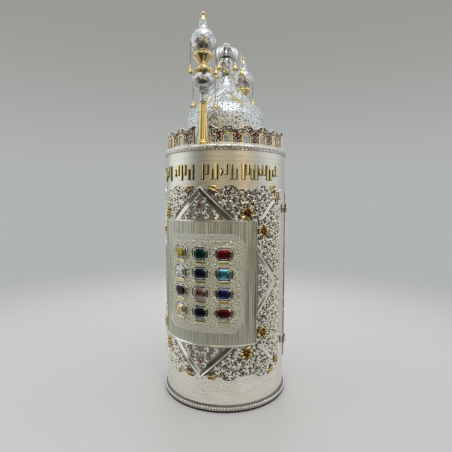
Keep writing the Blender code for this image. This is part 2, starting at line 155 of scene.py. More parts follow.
def recessTarnishAndShade():
    # dark sulphide and painted shade in the low places: all dark at Low, all clean at High
    tree, given, result = newGroup("recessTarnishAndShade", {
        "Vector": "Vector", "Reach": 0.0, "Color": "Color", "TarnishAndShade": "Color", "Low": 0.150, "High": 0.153,
        "Wander": 0.0012}, {"Color": "Color"})
    cloud = addMath(tree, "SUBTRACT", addNoise(tree, given["Vector"], 220.0, 3.0), 0.5)
    placed = addMath(tree, "MULTIPLY_ADD", cloud, given["Wander"], given["Reach"])
    mask = addRange(tree, placed, given["Low"], given["High"], interpolation_type="SMOOTHSTEP")
    feed(tree, result["Color"], addMix(tree, mask, given["TarnishAndShade"], given["Color"]))
    return tree


def handledSurface():
    # years of handling: cloudy tone and uneven polish
    tree, given, result = newGroup("handledSurface", {
        "Vector": "Vector", "Color": "Color", "Stain": "Color", "Scale": 18.0, "Amount": 0.3,
        "Roughness": 0.2, "Spread": 0.1}, {"Color": "Color", "Roughness": "Float"})
    cloud = addNoise(tree, given["Vector"], given["Scale"], 5.0, 0.62)
    mask = addRange(tree, cloud, 0.42, 0.72, given["Amount"])
    feed(tree, result["Color"], addMix(tree, mask, given["Color"], given["Stain"]))
    feed(tree, result["Roughness"], addMath(tree, "MULTIPLY_ADD", cloud, given["Spread"], given["Roughness"]))
    return tree


groups = {make.__name__: make()
          for make in (brushedGrain, hammerMarks, reachFromAxis, recessTarnishAndShade, handledSurface)}
print("shader groups made")


# finishes

def addGroup(tree, name, inputs):
    return addNode(tree, "Group", inputs, node_tree=groups[name]).outputs


def newMaterial(name, **values):
    material = bpy.data.materials.new(name)
    material.use_nodes = True
    shader = material.node_tree.nodes["Principled BSDF"].inputs
    for key, value in values.items():
        shader[key.replace("_", " ")].default_value = value
    return material, material.node_tree, shader


def scratches(across, along, strength, depth, shade=None):
    return "brushedGrain", {"Across": across, "Along": along}, strength, depth, shade


def beaten(scale, strength, depth, shade=None, low=0.40, high=0.60):
    return "hammerMarks", {"Scale": scale, "Low": low, "High": high}, strength, depth, shade


def metal(name, colour, stain, amount, roughness, spread, cloud, *marks, recess=None, unrolled=False,
          metallic=1.0):
    # marks are scratches or hammering; recess is (tarnish and painted shade, low, high) and a wander for
    # beaten work
    material, tree, shader = newMaterial(name, Metallic=metallic)
    place = addNode(tree, "TexCoord").outputs["Object"]
    spot = addNode(tree, "UVMap", uv_map="unrolled").outputs["UV"] if unrolled else place
    tone = addGroup(tree, "handledSurface", {
        "Vector": spot, "Color": colour, "Stain": stain, "Scale": cloud, "Amount": amount,
        "Roughness": roughness, "Spread": spread})
    shade, normal = tone["Color"], None
    for kind, inputs, strength, depth, low in marks:
        made = addGroup(tree, kind, {"Vector": spot, **inputs})
        bump = addNode(tree, "Bump", {"Height": made["Height"], "Strength": strength, "Distance": depth})
        if normal:
            feed(tree, bump.inputs["Normal"], normal)
        normal = bump.outputs["Normal"]
        if low:
            shade = addMix(tree, made["Tone"], shade, low)
    if recess:
        tarnishAndShade, low, high, *wander = recess
        inputs = {"Vector": place, "Color": shade, "TarnishAndShade": tarnishAndShade, "Low": low, "High": high}
        if wander:
            inputs["Wander"] = wander[0]
            inputs["Reach"] = addNode(tree, "Attribute", attribute_name="raised").outputs["Fac"]
        else:
            inputs["Reach"] = addGroup(tree, "reachFromAxis", {"Vector": place})["Reach"]
        shade = addGroup(tree, "recessTarnishAndShade", inputs)["Color"]
    feed(tree, shader["Base Color"], shade)
    feed(tree, shader["Roughness"], tone["Roughness"])
    if normal:
        feed(tree, shader["Normal"], normal)
    return material


# colour and heights for darkening relief below a height over the wall: tarnish and painted shade
def darkUnder(tarnishAndShade, low, high, base=bodyRadius):
    return tarnishAndShade, base + low, base + high


silverWarm, silverGrey = (0.84, 0.81, 0.69), (0.68, 0.67, 0.58)
goldPale, goldDeep = (0.93, 0.745, 0.36), (0.58, 0.39, 0.13)
fineLines, softLines = scratches(500, 500, 0.08, 0.0006), scratches(60, 60, 0.04, 0.002)
gritty = beaten(420, 0.8, 0.0014)
# a recess darkens the low places of a relief: on the silver this is tarnish together with painted shade
# colour, stain, how much stain, roughness and its spread, size of the clouds, marks
finishes = {
    "band": metal("band_silver", (0.855, 0.865, 0.81), silverWarm, 0.5, 0.24, 0.12, 9.0,
                  scratches(26, 2600, 0.35, 0.0007, (0.72, 0.70, 0.62)), unrolled=True),
    "panel": metal("panel_silver", (0.905, 0.925, 0.845), silverWarm, 0.5, 0.32, 0.12, 9.0,
                   scratches(4700, 40, 0.8, 0.0009, (0.26, 0.275, 0.20)), unrolled=True),
    "skirt": metal("skirt_silver", (1.0, 0.975, 0.91), silverWarm, 0.5, 0.22, 0.10, 14.0,
                   beaten(200, 0.6, 0.0016), scratches(90, 1700, 0.25, 0.0006, (0.86, 0.83, 0.75)),
                   unrolled=True),
    "inner": metal("inside_silver", (0.74, 0.72, 0.68), silverWarm, 0.4, 0.36, 0.12, 12.0,
                   beaten(90, 0.1, 0.001)),
    "plaque": metal("plaque_silver", (1.0, 1.0, 0.87), silverWarm, 0.5, 0.26, 0.12, 20.0,
                    beaten(310, 1.0, 0.0022, (0.46, 0.46, 0.35)), unrolled=True),
    "plaqueEdge": metal("plaque_border_silver", (0.92, 0.905, 0.85), silverGrey, 0.5, 0.24, 0.12, 20.0,
                        beaten(520, 0.9, 0.0016, (0.52, 0.52, 0.44)), unrolled=True),
    "ground": metal("darkened_ground", (0.105, 0.099, 0.086), (0.36, 0.34, 0.30), 0.5, 0.28, 0.2, 300.0,
                    gritty),
    "filigree": metal("filigree_silver", (1.0, 0.99, 0.93), silverGrey, 0.45, 0.20, 0.12, 60.0,
                      recess=darkUnder((0.07, 0.066, 0.056), 0.0006, 0.0016)),
    "scroll": metal("scrollwork_silver", (0.95, 0.94, 0.91), silverGrey, 0.3, 0.10, 0.12, 40.0,
                    recess=darkUnder((0.045, 0.042, 0.036), 0.0012, 0.0023)),
    "scrollGround": metal("scrollwork_ground", (0.24, 0.23, 0.198), (0.60, 0.58, 0.51), 0.55, 0.24, 0.15,
                          260.0, gritty),
    "wire": metal("edging_wire_silver", (0.95, 0.94, 0.90), silverGrey, 0.25, 0.26, 0.10, 30.0,
                  recess=darkUnder((0.16, 0.15, 0.12), 0.0010, 0.0017)),
    "polished": metal("polished_silver", (0.95, 0.94, 0.92), silverWarm, 0.2, 0.03, 0.06, 30.0, softLines),
    "frame": metal("moulding_silver", (0.95, 0.94, 0.90), silverGrey, 0.15, 0.04, 0.08, 30.0, fineLines),
    # a darker copy of the moulding silver: painted shade for one leg's broad strip
    "framePaintedShade": metal("moulding_silver_painted_shade", (0.27, 0.265, 0.23), silverGrey, 0.15, 0.04, 0.08, 30.0,
                       fineLines),
    "setting": metal("setting_silver", (0.95, 0.94, 0.90), silverGrey, 0.2, 0.06, 0.08, 60.0,
                     recess=darkUnder((0.03, 0.028, 0.024), 0.0025, 0.0036)),
    "bead": metal("bead_silver", (0.94, 0.93, 0.90), silverWarm, 0.3, 0.10, 0.10, 60.0),
    "rim": metal("rim_silver", (0.97, 0.96, 0.92), silverWarm, 0.35, 0.14, 0.10, 30.0,
                 beaten(340, 0.8, 0.0016, (0.80, 0.78, 0.73)), recess=((0.06, 0.056, 0.05), 0.0, 1.0, 0.3)),
    "baseRim": metal("base_rim_silver", (0.66, 0.62, 0.57), (0.42, 0.38, 0.34), 0.6, 0.24, 0.12, 60.0,
                     beaten(300, 0.6, 0.0014, (0.52, 0.48, 0.43)),
                     recess=darkUnder((0.22, 0.20, 0.175), 0.0030, 0.0050)),
    "boss": metal("boss_silver", (0.93, 0.92, 0.88), silverGrey, 0.4, 0.12, 0.12, 80.0,
                  recess=darkUnder((0.05, 0.047, 0.04), 0.0016, 0.0032, case["claspFace"])),
    "galleryGround": metal("gallery_ground", (0.07, 0.05, 0.038), (0.16, 0.115, 0.08), 0.8, 0.30, 0.2, 160.0),
    "galleryRelief": metal("gallery_silver", (0.90, 0.87, 0.82), (0.50, 0.41, 0.33), 0.6, 0.16, 0.12, 160.0),
    "inside": metal("gallery_inside_silver", (0.94, 0.93, 0.90), silverWarm, 0.3, 0.20, 0.10, 40.0),
    "bulb": metal("turned_silver", (0.95, 0.94, 0.92), silverWarm, 0.2, 0.05, 0.08, 60.0,
                  beaten(300, 0.25, 0.0010)),
    "chased": metal("chased_silver", (0.70, 0.71, 0.715), silverWarm, 0.2, 0.10, 0.08, 60.0,
                    beaten(520, 0.3, 0.0010, (0.22, 0.22, 0.21), 0.57, 0.64),
                    recess=((0.05, 0.048, 0.044), 0.08, 0.44, 0.10)),
    "dome": metal("beaten_silver", (0.83, 0.87, 0.89), silverWarm, 0.2, 0.28, 0.10, 60.0,
                  beaten(300, 0.4, 0.0012, (0.11, 0.11, 0.11), 0.575, 0.600),
                  recess=((0.07, 0.07, 0.07), 0.10, 0.44, 0.20), metallic=0.68),
    "strap": metal("strap_silver", (0.70, 0.71, 0.715), silverWarm, 0.25, 0.26, 0.10, 60.0,
                   beaten(500, 0.25, 0.0008)),
    "chain": metal("chain_silver", (0.32, 0.31, 0.30), (0.16, 0.15, 0.14), 0.6, 0.25, 0.15, 300.0),
    # on the gilding that follows, a recess darkens the low places as painted shade
    "giltBright": metal("polished_gilding", (0.88, 0.715, 0.355), goldDeep, 0.3, 0.09, 0.06, 40.0,
                        scratches(60, 60, 0.03, 0.002)),
    "giltRelief": metal("worn_gilding_painted_shade", goldPale, goldDeep, 0.6, 0.14, 0.14, 90.0,
                        recess=darkUnder((0.045, 0.024, 0.008), 0.0026, 0.0042)),
    "leafGilt": metal("leaf_gilding", (0.92, 0.69, 0.27), (0.56, 0.38, 0.12), 0.6, 0.24, 0.12, 90.0,
                      recess=darkUnder((0.06, 0.034, 0.012), 0.0009, 0.0021)),
    "giltBar": metal("bar_gilding", goldPale, goldDeep, 0.5, 0.05, 0.10, 60.0,
                     recess=darkUnder((0.10, 0.055, 0.018), 0.0022, 0.0036)),
    "galleryGilt": metal("gallery_gilding", goldPale, goldDeep, 0.6, 0.12, 0.14, 120.0),
    "domeGilt": metal("dome_gilding", (0.90, 0.76, 0.42), (0.46, 0.36, 0.15), 0.8, 0.22, 0.14, 160.0),
    "stroke": metal("stroke_gilding", (0.86, 0.79, 0.46), (0.74, 0.62, 0.27), 0.7, 0.18, 0.16, 60.0,
                    scratches(400, 400, 0.3, 0.0006), recess=darkUnder((0.08, 0.05, 0.015), 0.0010, 0.0021)),
    "shadow": metal("stroke_shadow", (0.012, 0.010, 0.007), (0.03, 0.022, 0.01), 0.6, 0.5, 0.2, 80.0,
                    metallic=0.0),
    "felt": metal("felt", (0.016, 0.016, 0.017), (0.035, 0.034, 0.034), 0.7, 0.85, 0.15, 400.0,
                  beaten(1500, 0.5, 0.0006), metallic=0.0),
    "floor": metal("floor", (0.75, 0.735, 0.72), (0.70, 0.685, 0.67), 0.3, 0.5, 0.1, 1.5, metallic=0.0),
}


def stone(name, colour):
    # paste stone over bright foil, the foil giving each facet its own flash
    material, tree, shader = newMaterial(name, Metallic=0.93, Roughness=0.05, Coat_Weight=0.35,
                                         Coat_Roughness=0.01)
    place = addNode(tree, "TexCoord").outputs["Object"]
    cells = addNode(tree, "TexVoronoi", {"Vector": place, "Scale": 210.0}).outputs["Color"]
    spread = addNode(tree, "SeparateColor", {0: cells}).outputs[0]
    feed(tree, shader["Base Color"], addMix(tree, spread, colour, tuple(0.30 * value for value in colour)))
    return material


gemColours = (
    (("olive", (0.54, 0.46, 0.10)), ("green", (0.003, 0.10, 0.055)), ("red", (0.25, 0.003, 0.007))),
    (("clear", (0.94, 0.94, 0.92)), ("navy", (0.008, 0.028, 0.065)), ("aqua", (0.12, 0.42, 0.56))),
    (("purple", (0.050, 0.006, 0.030)), ("pink", (0.46, 0.24, 0.20)), ("blue", (0.032, 0.030, 0.165))),
    (("champagne", (0.90, 0.75, 0.46)), ("black", (0.012, 0.022, 0.026)), ("ruby", (0.15, 0.002, 0.004))))
finishes["redStone"] = stone("red_stone", (0.70, 0.012, 0.012))
print("finishes made")


# paths and sections

def polar(centre, reach, angle):
    return centre[0] + reach * math.cos(angle), centre[1] + reach * math.sin(angle)


def shares(count):
    return [k / count for k in range(count + 1)]


def arcPath(centre, radius, start, end, steps):
    return [polar(centre, radius, math.radians(start + (end - start) * k / steps)) for k in range(steps + 1)]


def arcAt(degrees, radius=bodyRadius):
    return math.radians(degrees) * radius


def spot(angle, reach, height):
    # a place round the case: degrees from the front, distance from the axis, height
    turn = math.radians(angle)
    return np.array((reach * math.sin(turn), -reach * math.cos(turn), height))


def roundSection(halfWidth, rise, steps=5):
    foot = [(-halfWidth, -0.0004), (halfWidth, -0.0004)]
    if steps == 3:
        return foot + [(0.0, rise)]
    return foot + [(halfWidth * math.cos(math.pi * k / steps), rise * math.sin(math.pi * k / steps))
                   for k in range(1, steps)]


def archSection(half, *shoulders, sink=0.0004):
    # a foot of this half width, and shoulders of (across, out) given for one side
    mirrored = [(-across, out) for across, out in reversed(shoulders)]
    return [(-half, -sink), (half, -sink), *shoulders, *mirrored]


def scaled(section, wide, tall):
    return [(across * wide, out * tall) for across, out in section]


def subdivide(path, step, looped=False):
    finer = []
    for (ax, ay), (bx, by) in zip(path, path[1:] + path[:1] if looped else path[1:]):
        pieces = max(1, round(math.hypot(bx - ax, by - ay) / step))
        finer.extend((ax + (bx - ax) * k / pieces, ay + (by - ay) * k / pieces) for k in range(pieces))
    return finer if looped else finer + [path[-1]]


def smoothed(points, pieces=4):
    # a rounded profile through a few points
    rounded = []
    for index in range(len(points) - 1):
        near = [points[max(0, index - 1)], points[index], points[index + 1],
                points[min(len(points) - 1, index + 2)]]
        for t in shares(pieces)[:-1]:
            rounded.append(tuple(0.5 * (2 * b + (c - a) * t + (2 * a - 5 * b + 4 * c - d) * t * t
                                        + (3 * b - a - 3 * c + d) * t ** 3) for a, b, c, d in zip(*near)))
    return rounded + [points[-1]]


def layOnCase(points, side="front", radius=bodyRadius):
    turn, reach = points[:, 0] / radius, radius + points[:, 2]
    return np.column_stack((sides[side] * reach * np.sin(turn), -sides[side] * reach * np.cos(turn),
                            points[:, 1]))


def asDrawn(points):
    return points


class Piece:
    # ornament is drawn flat as (across, up, out) and laid on the case, unless another lay is given
    def __init__(self, side, lay=None):
        self.side = side
        self.lay = lay or (lambda points: layOnCase(points, side))
        self.points, self.faces, self.zones = [], [], []

    def addFace(self, corners, zone=0):
        self.faces.append(corners)
        self.zones.append(zone)

    def addRings(self, rings, closed=True, capped=True, looped=False, zone=0):
        # skin through equal rings of points
        start, wide, count = len(self.points), len(rings[0]), len(rings)
        for ring in rings:
            self.points.extend(ring)
        for row in range(count if looped else count - 1):
            low, high = start + row * wide, start + (row + 1) % count * wide
            for step in range(wide if closed else wide - 1):
                beside = (step + 1) % wide
                self.addFace((low + step, low + beside, high + beside, high + step), zone)
        if capped and not looped:
            last = start + (count - 1) * wide
            self.addFace(tuple(range(start, start + wide))[::-1], zone)
            self.addFace(tuple(range(last, last + wide)), zone)

    def addStrip(self, path, section, sizes=None, looped=False, lift=0.0, zone=0, tapered=True):
        # a section of (across, out) drawn along a flat path, mitred where the path turns
        count = len(path)
        rings = []
        for index, here in enumerate(path):
            before = path[index - 1] if index or looped else here
            after = path[(index + 1) % count] if index < count - 1 or looped else here
            inX, inY = here[0] - before[0], here[1] - before[1]
            outX, outY = after[0] - here[0], after[1] - here[1]
            inLength = math.hypot(inX, inY) or 1.0
            outLength = math.hypot(outX, outY) or 1.0
            alongX = inX / inLength + outX / outLength
            alongY = inY / inLength + outY / outLength
            length = math.hypot(alongX, alongY) or 1.0
            alongX, alongY = alongX / length, alongY / length
            size = sizes[index] if sizes else 1.0
            reach = size
            if (inX or inY) and (outX or outY):
                reach = size / max(0.35, (alongX * inX + alongY * inY) / inLength)
            thin = min(size, 1.0) if tapered else 1.0
            rings.append([(here[0] - alongY * across * reach, here[1] + alongX * across * reach,
                           lift + out * (thin if out > 0 else 1.0)) for across, out in section])
        self.addRings(rings, looped=looped, zone=zone)

    def addCircle(self, centre, radius, steps, section, lift):
        self.addStrip(arcPath(centre, radius, 0, 360, steps)[:-1], section, looped=True, lift=lift)

    def addDome(self, centre, radius, rise, sides=8, rows=2, sink=0.0003, lift=0.0, squash=1.0):
        # a round boss standing on the surface
        slopes = [math.radians(90.0 * row / rows + 8.0) for row in range(rows)]
        start = len(self.points)
        self.addRings([[(centre[0] + radius * squash * wide * math.cos(math.tau * k / sides),
                         centre[1] + radius * wide * math.sin(math.tau * k / sides), lift + out)
                        for k in range(sides)]
                       for wide, out in [(1.0, -sink)] + [(math.cos(slope), rise * math.sin(slope))
                                                          for slope in slopes]], capped=False)
        self.addFace(tuple(range(start, start + sides))[::-1])
        top = len(self.points)
        self.points.append((centre[0], centre[1], lift + rise))
        for k in range(sides):
            self.addFace((top - sides + k, top - sides + (k + 1) % sides, top))

    def addMesh(self, mesh, zone=0):
        start = len(self.points)
        self.points.extend(tuple(vert.co) for vert in mesh.vertices)
        for polygon in mesh.polygons:
            self.addFace(tuple(start + index for index in polygon.vertices), zone)

    def make(self, name, finish, slot, replaced=None, crease=35.0, raised=None):
        flat = np.array(self.points)
        mesh = bpy.data.meshes.new(name)
        mesh.from_pydata([tuple(point) for point in self.lay(flat)], [], self.faces)
        if raised:
            # how far each point stands above the sunk outlines, for the tarnish and painted shade
            tarnishAndShadeMask = mesh.attributes.new("raised", "FLOAT", "POINT")
            tarnishAndShadeMask.data.foreach_set("value", [raised(point) for point in self.points])
        mesh.polygons.foreach_set("material_index", self.zones)
        corners = np.zeros(len(mesh.loops), dtype=np.int32)
        mesh.loops.foreach_get("vertex_index", corners)
        layer = mesh.uv_layers.new(name="unrolled")
        layer.data.foreach_set("uv", flat[corners, :2].astype(np.float32).ravel())
        tidy = bmesh.new()
        tidy.from_mesh(mesh)
        bmesh.ops.recalc_face_normals(tidy, faces=tidy.faces[:])
        tidy.to_mesh(mesh)
        tidy.free()
        for key in ([finish] if isinstance(finish, str) else finish):
            mesh.materials.append(finishes[key])
        mesh.shade_smooth()
        mesh.set_sharp_from_angle(angle=math.radians(crease))
        item = bpy.data.objects.new(name, mesh)
        bpy.context.scene.collection.objects.link(item)
        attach(item, bodies[self.side])
        if replaced:
            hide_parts(replaced)


def cutFlat(cut, middle, away, clear=False):
    return bmesh.ops.bisect_plane(cut, geom=cut.verts[:] + cut.edges[:] + cut.faces[:], dist=0.000001,
                                  plane_co=middle, plane_no=away, clear_outer=clear)


def flatPlate(outlines, low, high, step=0.006, edge=0.0):
    # a filled plate between two distances, cut into columns so that it can be bent
    curve = bpy.data.curves.new("outline", "CURVE")
    curve.dimensions = "2D"
    curve.fill_mode = "BOTH"
    curve.extrude = (high - low) / 2 - edge
    curve.bevel_depth = edge
    curve.bevel_resolution = 1
    curve.offset = -edge
    for outline in outlines:
        spline = curve.splines.new("POLY")
        spline.points.add(len(outline) - 1)
        spline.use_cyclic_u = True
        for point, place in zip(spline.points, outline):
            point.co = (*place, 0.0, 1.0)
    item = bpy.data.objects.new("outline", curve)
    bpy.context.scene.collection.objects.link(item)
    bpy.context.view_layer.update()
    mesh = bpy.data.meshes.new_from_object(item.evaluated_get(bpy.context.evaluated_depsgraph_get()))
    bpy.data.objects.remove(item, do_unlink=True)
    cut = bmesh.new()
    cut.from_mesh(mesh)
    bmesh.ops.remove_doubles(cut, verts=cut.verts[:], dist=0.00001)
    columns = int(max(abs(vert.co.x) for vert in cut.verts) / step)
    for index in range(-columns, columns + 1):
        cutFlat(cut, (index * step, 0, 0), (1, 0, 0))
    bmesh.ops.translate(cut, verts=cut.verts[:], vec=(0, 0, (low + high) / 2))
    cut.to_mesh(mesh)
    cut.free()
    return mesh


# camera, floor and light

view = {"azimuth": 21.4, "distance": 0.9566, "height": 0.4743, "down": 3.74, "pan": 0.09, "roll": 0.21,
        "lens": 29.47}
facing = math.radians(view["azimuth"])


def placeRound(item, azimuth, reach, height):
    item.location = spot(azimuth, reach, height)
    bpy.context.scene.collection.objects.link(item)


def addCamera():
    data = bpy.data.cameras.new("camera")
    data.lens = view["lens"]
    data.sensor_width = 36.0
    data.clip_start = 0.02
    camera = bpy.data.objects.new("camera", data)
    placeRound(camera, view["azimuth"], view["distance"], view["height"])
    aim = Matrix.Rotation(facing - math.radians(view["pan"]), 3, "Z")
    aim = aim @ Matrix.Rotation(math.radians(90.0 - view["down"]), 3, "X")
    aim = aim @ Matrix.Rotation(math.radians(view["roll"]), 3, "Z")
    camera.rotation_euler = aim.to_euler()
    bpy.context.scene.camera = camera


# what the metal reflects, by direction: degrees from the camera's side, light and tint
tints = {"plain": (1.0, 1.0, 1.0), "olive": (1.0, 1.01, 0.78), "copper": (1.0, 0.74, 0.42),
         "warm": (1.0, 0.98, 0.90), "cool": (0.94, 1.0, 1.05)}
surroundings = {
    "deep": ((-180, 0.34, "warm"), (-82, 0.42, "warm"), (-62, 0.06, "olive"), (0, 0.05, "olive"),
             (56, 0.06, "olive"), (78, 0.36, "warm"), (180, 0.34, "warm")),
    "low": ((-180, 0.46, "plain"), (-100, 0.70, "warm"), (-68, 0.76, "warm"), (-60, 0.10, "olive"),
            (-34, 0.09, "olive"), (-22, 0.19, "olive"), (-6, 0.17, "olive"), (20, 0.17, "olive"),
            (42, 0.24, "olive"), (52, 0.14, "olive"), (66, 0.20, "olive"), (76, 0.46, "warm"),
            (180, 0.46, "plain")),
    "level": ((-180, 0.44, "plain"), (-100, 0.52, "plain"), (-69, 0.52, "plain"), (-61, 0.18, "olive"),
              (-30, 0.18, "olive"), (-20, 1.20, "copper"), (-7, 1.15, "copper"), (0, 0.24, "olive"),
              (20, 0.24, "olive"), (29, 1.70, "copper"), (38, 1.70, "copper"), (46, 0.22, "olive"),
              (52, 0.45, "plain"), (120, 0.50, "plain"), (180, 0.44, "plain")),
    "high": ((-180, 0.44, "cool"), (-110, 0.52, "cool"), (-74, 0.58, "cool"), (-58, 0.30, "plain"),
             (-32, 0.30, "warm"), (-10, 0.56, "warm"), (25, 0.56, "warm"), (50, 0.48, "plain"),
             (70, 0.58, "cool"), (110, 0.52, "cool"), (180, 0.44, "cool")),
    "top": (0.42, "cool"), "under": (0.10, "olive"),
    "seen": (0.44, 0.455, 0.455), "seenAbove": (0.32, 0.325, 0.30)}
softboxes = {   # degrees from the camera's side, reach, height, size, watts
    "left_softbox": (-100, 2.0, 1.3, (2.0, 2.0), 5.0),
    "right_softbox": (88, 2.0, 1.3, (2.0, 2.0), 4.0),
    "top_softbox": (0, 0.3, 2.4, (3.0, 3.0), 19.0),
    "downlight": (10, 0.45, 1.75, (0.30, 0.30), 1.5),
    "back_softbox": (180, 2.2, 1.4, (1.6, 1.0), 8.0)}


def tinted(light, tint):
    return (*(light * value for value in tints[tint]), 1.0)


def addRamp(tree, factor, stops):
    ramp = addNode(tree, "ValToRGB", {"Fac": factor})
    elements = ramp.color_ramp.elements
    while len(elements) < len(stops):
        elements.new(0.5)
    for element, (place, light, tint) in zip(elements, stops):
        element.position = place / 360.0 + 0.5
    for element, (place, light, tint) in zip(elements, stops):
        element.color = tinted(light, tint)
    return ramp.outputs["Color"]


def blendUp(tree, height, low, high, first, second):
    return addMix(tree, addRange(tree, height, low, high, interpolation_type="SMOOTHSTEP"), first, second)


def addWorld():
    world = bpy.data.worlds.new("studio")
    world.use_nodes = True
    bpy.context.scene.world = world
    tree = world.node_tree
    direction = addNode(tree, "TexCoord").outputs["Generated"]
    ahead, aside = (addVector(tree, "DOT_PRODUCT", {0: direction, 1: axis}, "Value")
                    for axis in ((math.sin(facing), -math.cos(facing), 0.0),
                                 (math.cos(facing), math.sin(facing), 0.0)))
    height = addNode(tree, "SeparateXYZ", {0: direction}).outputs["Z"]
    share = addMath(tree, "MULTIPLY_ADD", addMath(tree, "ARCTAN2", aside, ahead), 1.0 / math.tau, 0.5)
    shade = tinted(*surroundings["under"])
    for key, start, end in (("deep", -0.97, -0.86), ("low", -0.46, -0.33), ("level", -0.06, 0.02),
                            ("high", 0.22, 0.36)):
        shade = blendUp(tree, height, start, end, shade, addRamp(tree, share, surroundings[key]))
    shade = blendUp(tree, height, 0.62, 0.88, shade, tinted(*surroundings["top"]))
    backdrop = blendUp(tree, height, 0.02, 0.46, surroundings["seen"], surroundings["seenAbove"])
    seen = addNode(tree, "LightPath").outputs["Is Camera Ray"]
    feed(tree, tree.nodes["Background"].inputs["Color"], addMix(tree, seen, shade, backdrop))


def addStage():
    bpy.ops.mesh.primitive_circle_add(vertices=96, radius=6.0, fill_type="NGON")
    floor = bpy.context.object
    floor.name = "floor"
    floor.data.materials.append(finishes["floor"])
    # it fades into the backdrop, and the metal sees only its nearest part, as on a table
    tree = finishes["floor"].node_tree
    place = addNode(tree, "TexCoord").outputs["Object"]
    reach = addVector(tree, "LENGTH", {0: place}, "Value")
    near = addRange(tree, reach, 0.38, 0.52)
    far = addRange(tree, reach, 0.70, 1.9, interpolation_type="SMOOTHSTEP")
    glossy = addNode(tree, "LightPath").outputs["Is Glossy Ray"]
    share = addMath(tree, "MAXIMUM", addMath(tree, "MULTIPLY", near, glossy), far)
    clear = addNode(tree, "BsdfTransparent").outputs[0]
    mixed = addNode(tree, "MixShader", {0: share, 1: tree.nodes["Principled BSDF"].outputs[0], 2: clear})
    feed(tree, tree.nodes["Material Output"].inputs["Surface"], mixed.outputs[0])


def addSoftbox(name, azimuth, reach, height, size, power):
    data = bpy.data.lights.new(name, "AREA")
    data.shape = "RECTANGLE"
    data.size, data.size_y = size
    data.energy = power
    lamp = bpy.data.objects.new(name, data)
    placeRound(lamp, view["azimuth"] + azimuth, reach, height)
    aim = Vector((0.0, 0.0, caseMiddle * 1.4)) - lamp.location
    lamp.rotation_euler = aim.to_track_quat("-Z", "Y").to_euler()


addCamera()
addStage()
addWorld()
bpy.context.scene.view_settings.view_transform = "Standard"
for name, settings in softboxes.items():
    addSoftbox(name, *settings)
print("camera, floor and lights placed")


# walls

def addWall(side):
    # 4 mm shell: plain band above, upright brushing on the panel, softly hammered skirt
    limit = math.acos(case["seam"] / bodyRadius)
    steps = 80
    heights = [wallBottom, fieldBottom, fieldTop, wallTop]
    work = Piece(side)
    rings = []
    for share in shares(steps):
        across = (2 * share - 1) * limit * bodyRadius
        rings.append([(across, height, 0.0) for height in heights]
                     + [(across, height, case["inside"] - bodyRadius) for height in reversed(heights)])
    work.addRings(rings)
    for index in range(steps * 8):
        angle = (2 * (index // 8 + 0.5) / steps - 1) * limit
        zone = min(index % 8, 3)
        beside = zone == 1 and abs(angle) > math.radians(case["fieldAngle"])    # smooth beside the seam
        work.zones[index] = 0 if beside else zone
    work.zones[-2:] = [3, 3]
    work.make(side + "_wall_shell", ["skirt", "panel", "band", "inner"], "brushed_silver", side + "_wall")


# the ornament field

field = {"rise": 0.0010, "wire": 0.0009, "panelWire": 0.0016, "ringWire": 0.0010, "strip": 0.0048,
         "stripRise": 0.0016}
ribbons = {"start": (69.5, 0.184), "end": (50.6, 0.1445), "bow": 0.004}    # as (angle, up), and the bow


def fieldEdge():
    # half outline of the field's long edge, from the left end to the right one
    spread = math.degrees(math.asin(case["ringDip"]))
    angles = case["ringAngles"]

    def dip(angle):
        return (arcAt(angle), case["ringRadius"] * case["ringDip"] - 0.001
                - 0.001 * (angle / case["fieldAngle"]) ** 2)
    points = [dip(-case["fieldAngle"])]
    for index, angle in enumerate(angles):
        if index:
            points.append(dip((angles[index - 1] + angle) / 2))
        points.extend(arcPath((arcAt(angle), 0.0), case["ringRadius"], 180 - spread, spread, 14))
    return points + [dip(case["fieldAngle"])]


def fieldOutline():
    edge = fieldEdge()
    return ([(across, caseMiddle + case["ringHeight"] + up) for across, up in edge]
            + [(across, caseMiddle - case["ringHeight"] - up) for across, up in reversed(edge)])


def panelOutline():
    wide, tall = arcAt(case["panelAngle"]), case["panelHeight"]
    return [(-wide, caseMiddle - tall), (wide, caseMiddle - tall), (wide, caseMiddle + tall),
            (-wide, caseMiddle + tall)]


def ribbonPath(signX, signZ):
    # a plain S-shaped band across each corner of the field
    (startAngle, startUp), (endAngle, endUp) = ribbons["start"], ribbons["end"]
    return [(signX * arcAt(startAngle + (endAngle - startAngle) * share),
             caseMiddle + signZ * (startUp + (endUp - startUp) * share
                                   + ribbons["bow"] * math.sin(math.tau * share))) for share in shares(12)]


def addField(side):
    plate = Piece(side)
    plate.addMesh(flatPlate([fieldOutline(), panelOutline()], -0.0005, field["rise"]))
    plate.make(side + "_ornament_ground", "ground", "relief_silver")
    wires = Piece(side)
    lift = field["rise"] * 0.5
    for zone, (outline, half, rise) in enumerate(((fieldOutline(), field["wire"], 0.0022),
                                                  (panelOutline(), field["panelWire"], 0.0014))):
        path = subdivide(outline, 0.005, True)
        wires.addStrip(path, roundSection(half, rise), looped=True, lift=lift, zone=zone)
    for angle in case["ringAngles"]:
        for signZ in (1, -1):
            wires.addCircle((arcAt(angle), caseMiddle + signZ * case["ringHeight"]), case["ringRadius"], 40,
                            roundSection(field["ringWire"], 0.0030), lift)
    band = scaled(archSection(1.0, (0.92, 1.0), (0.7, 1.25), (0.55, 0.85), sink=0.4), field["strip"],
                  field["stripRise"])
    for signX in (-1, 1):
        for signZ in (-1, 1):
            wires.addStrip(ribbonPath(signX, signZ), band, lift=field["rise"])
    wires.make(side + "_ornament_edging", ["wire", "polished"], "relief_silver")


# triangle mouldings

triangles = {"endApex": 0.216, "endBase": 0.1415, "endAngle": 29.6, "sideNear": 50.0, "sideFar": 73.0,
             "sideHalf": 0.072, "inset": 0.0134}
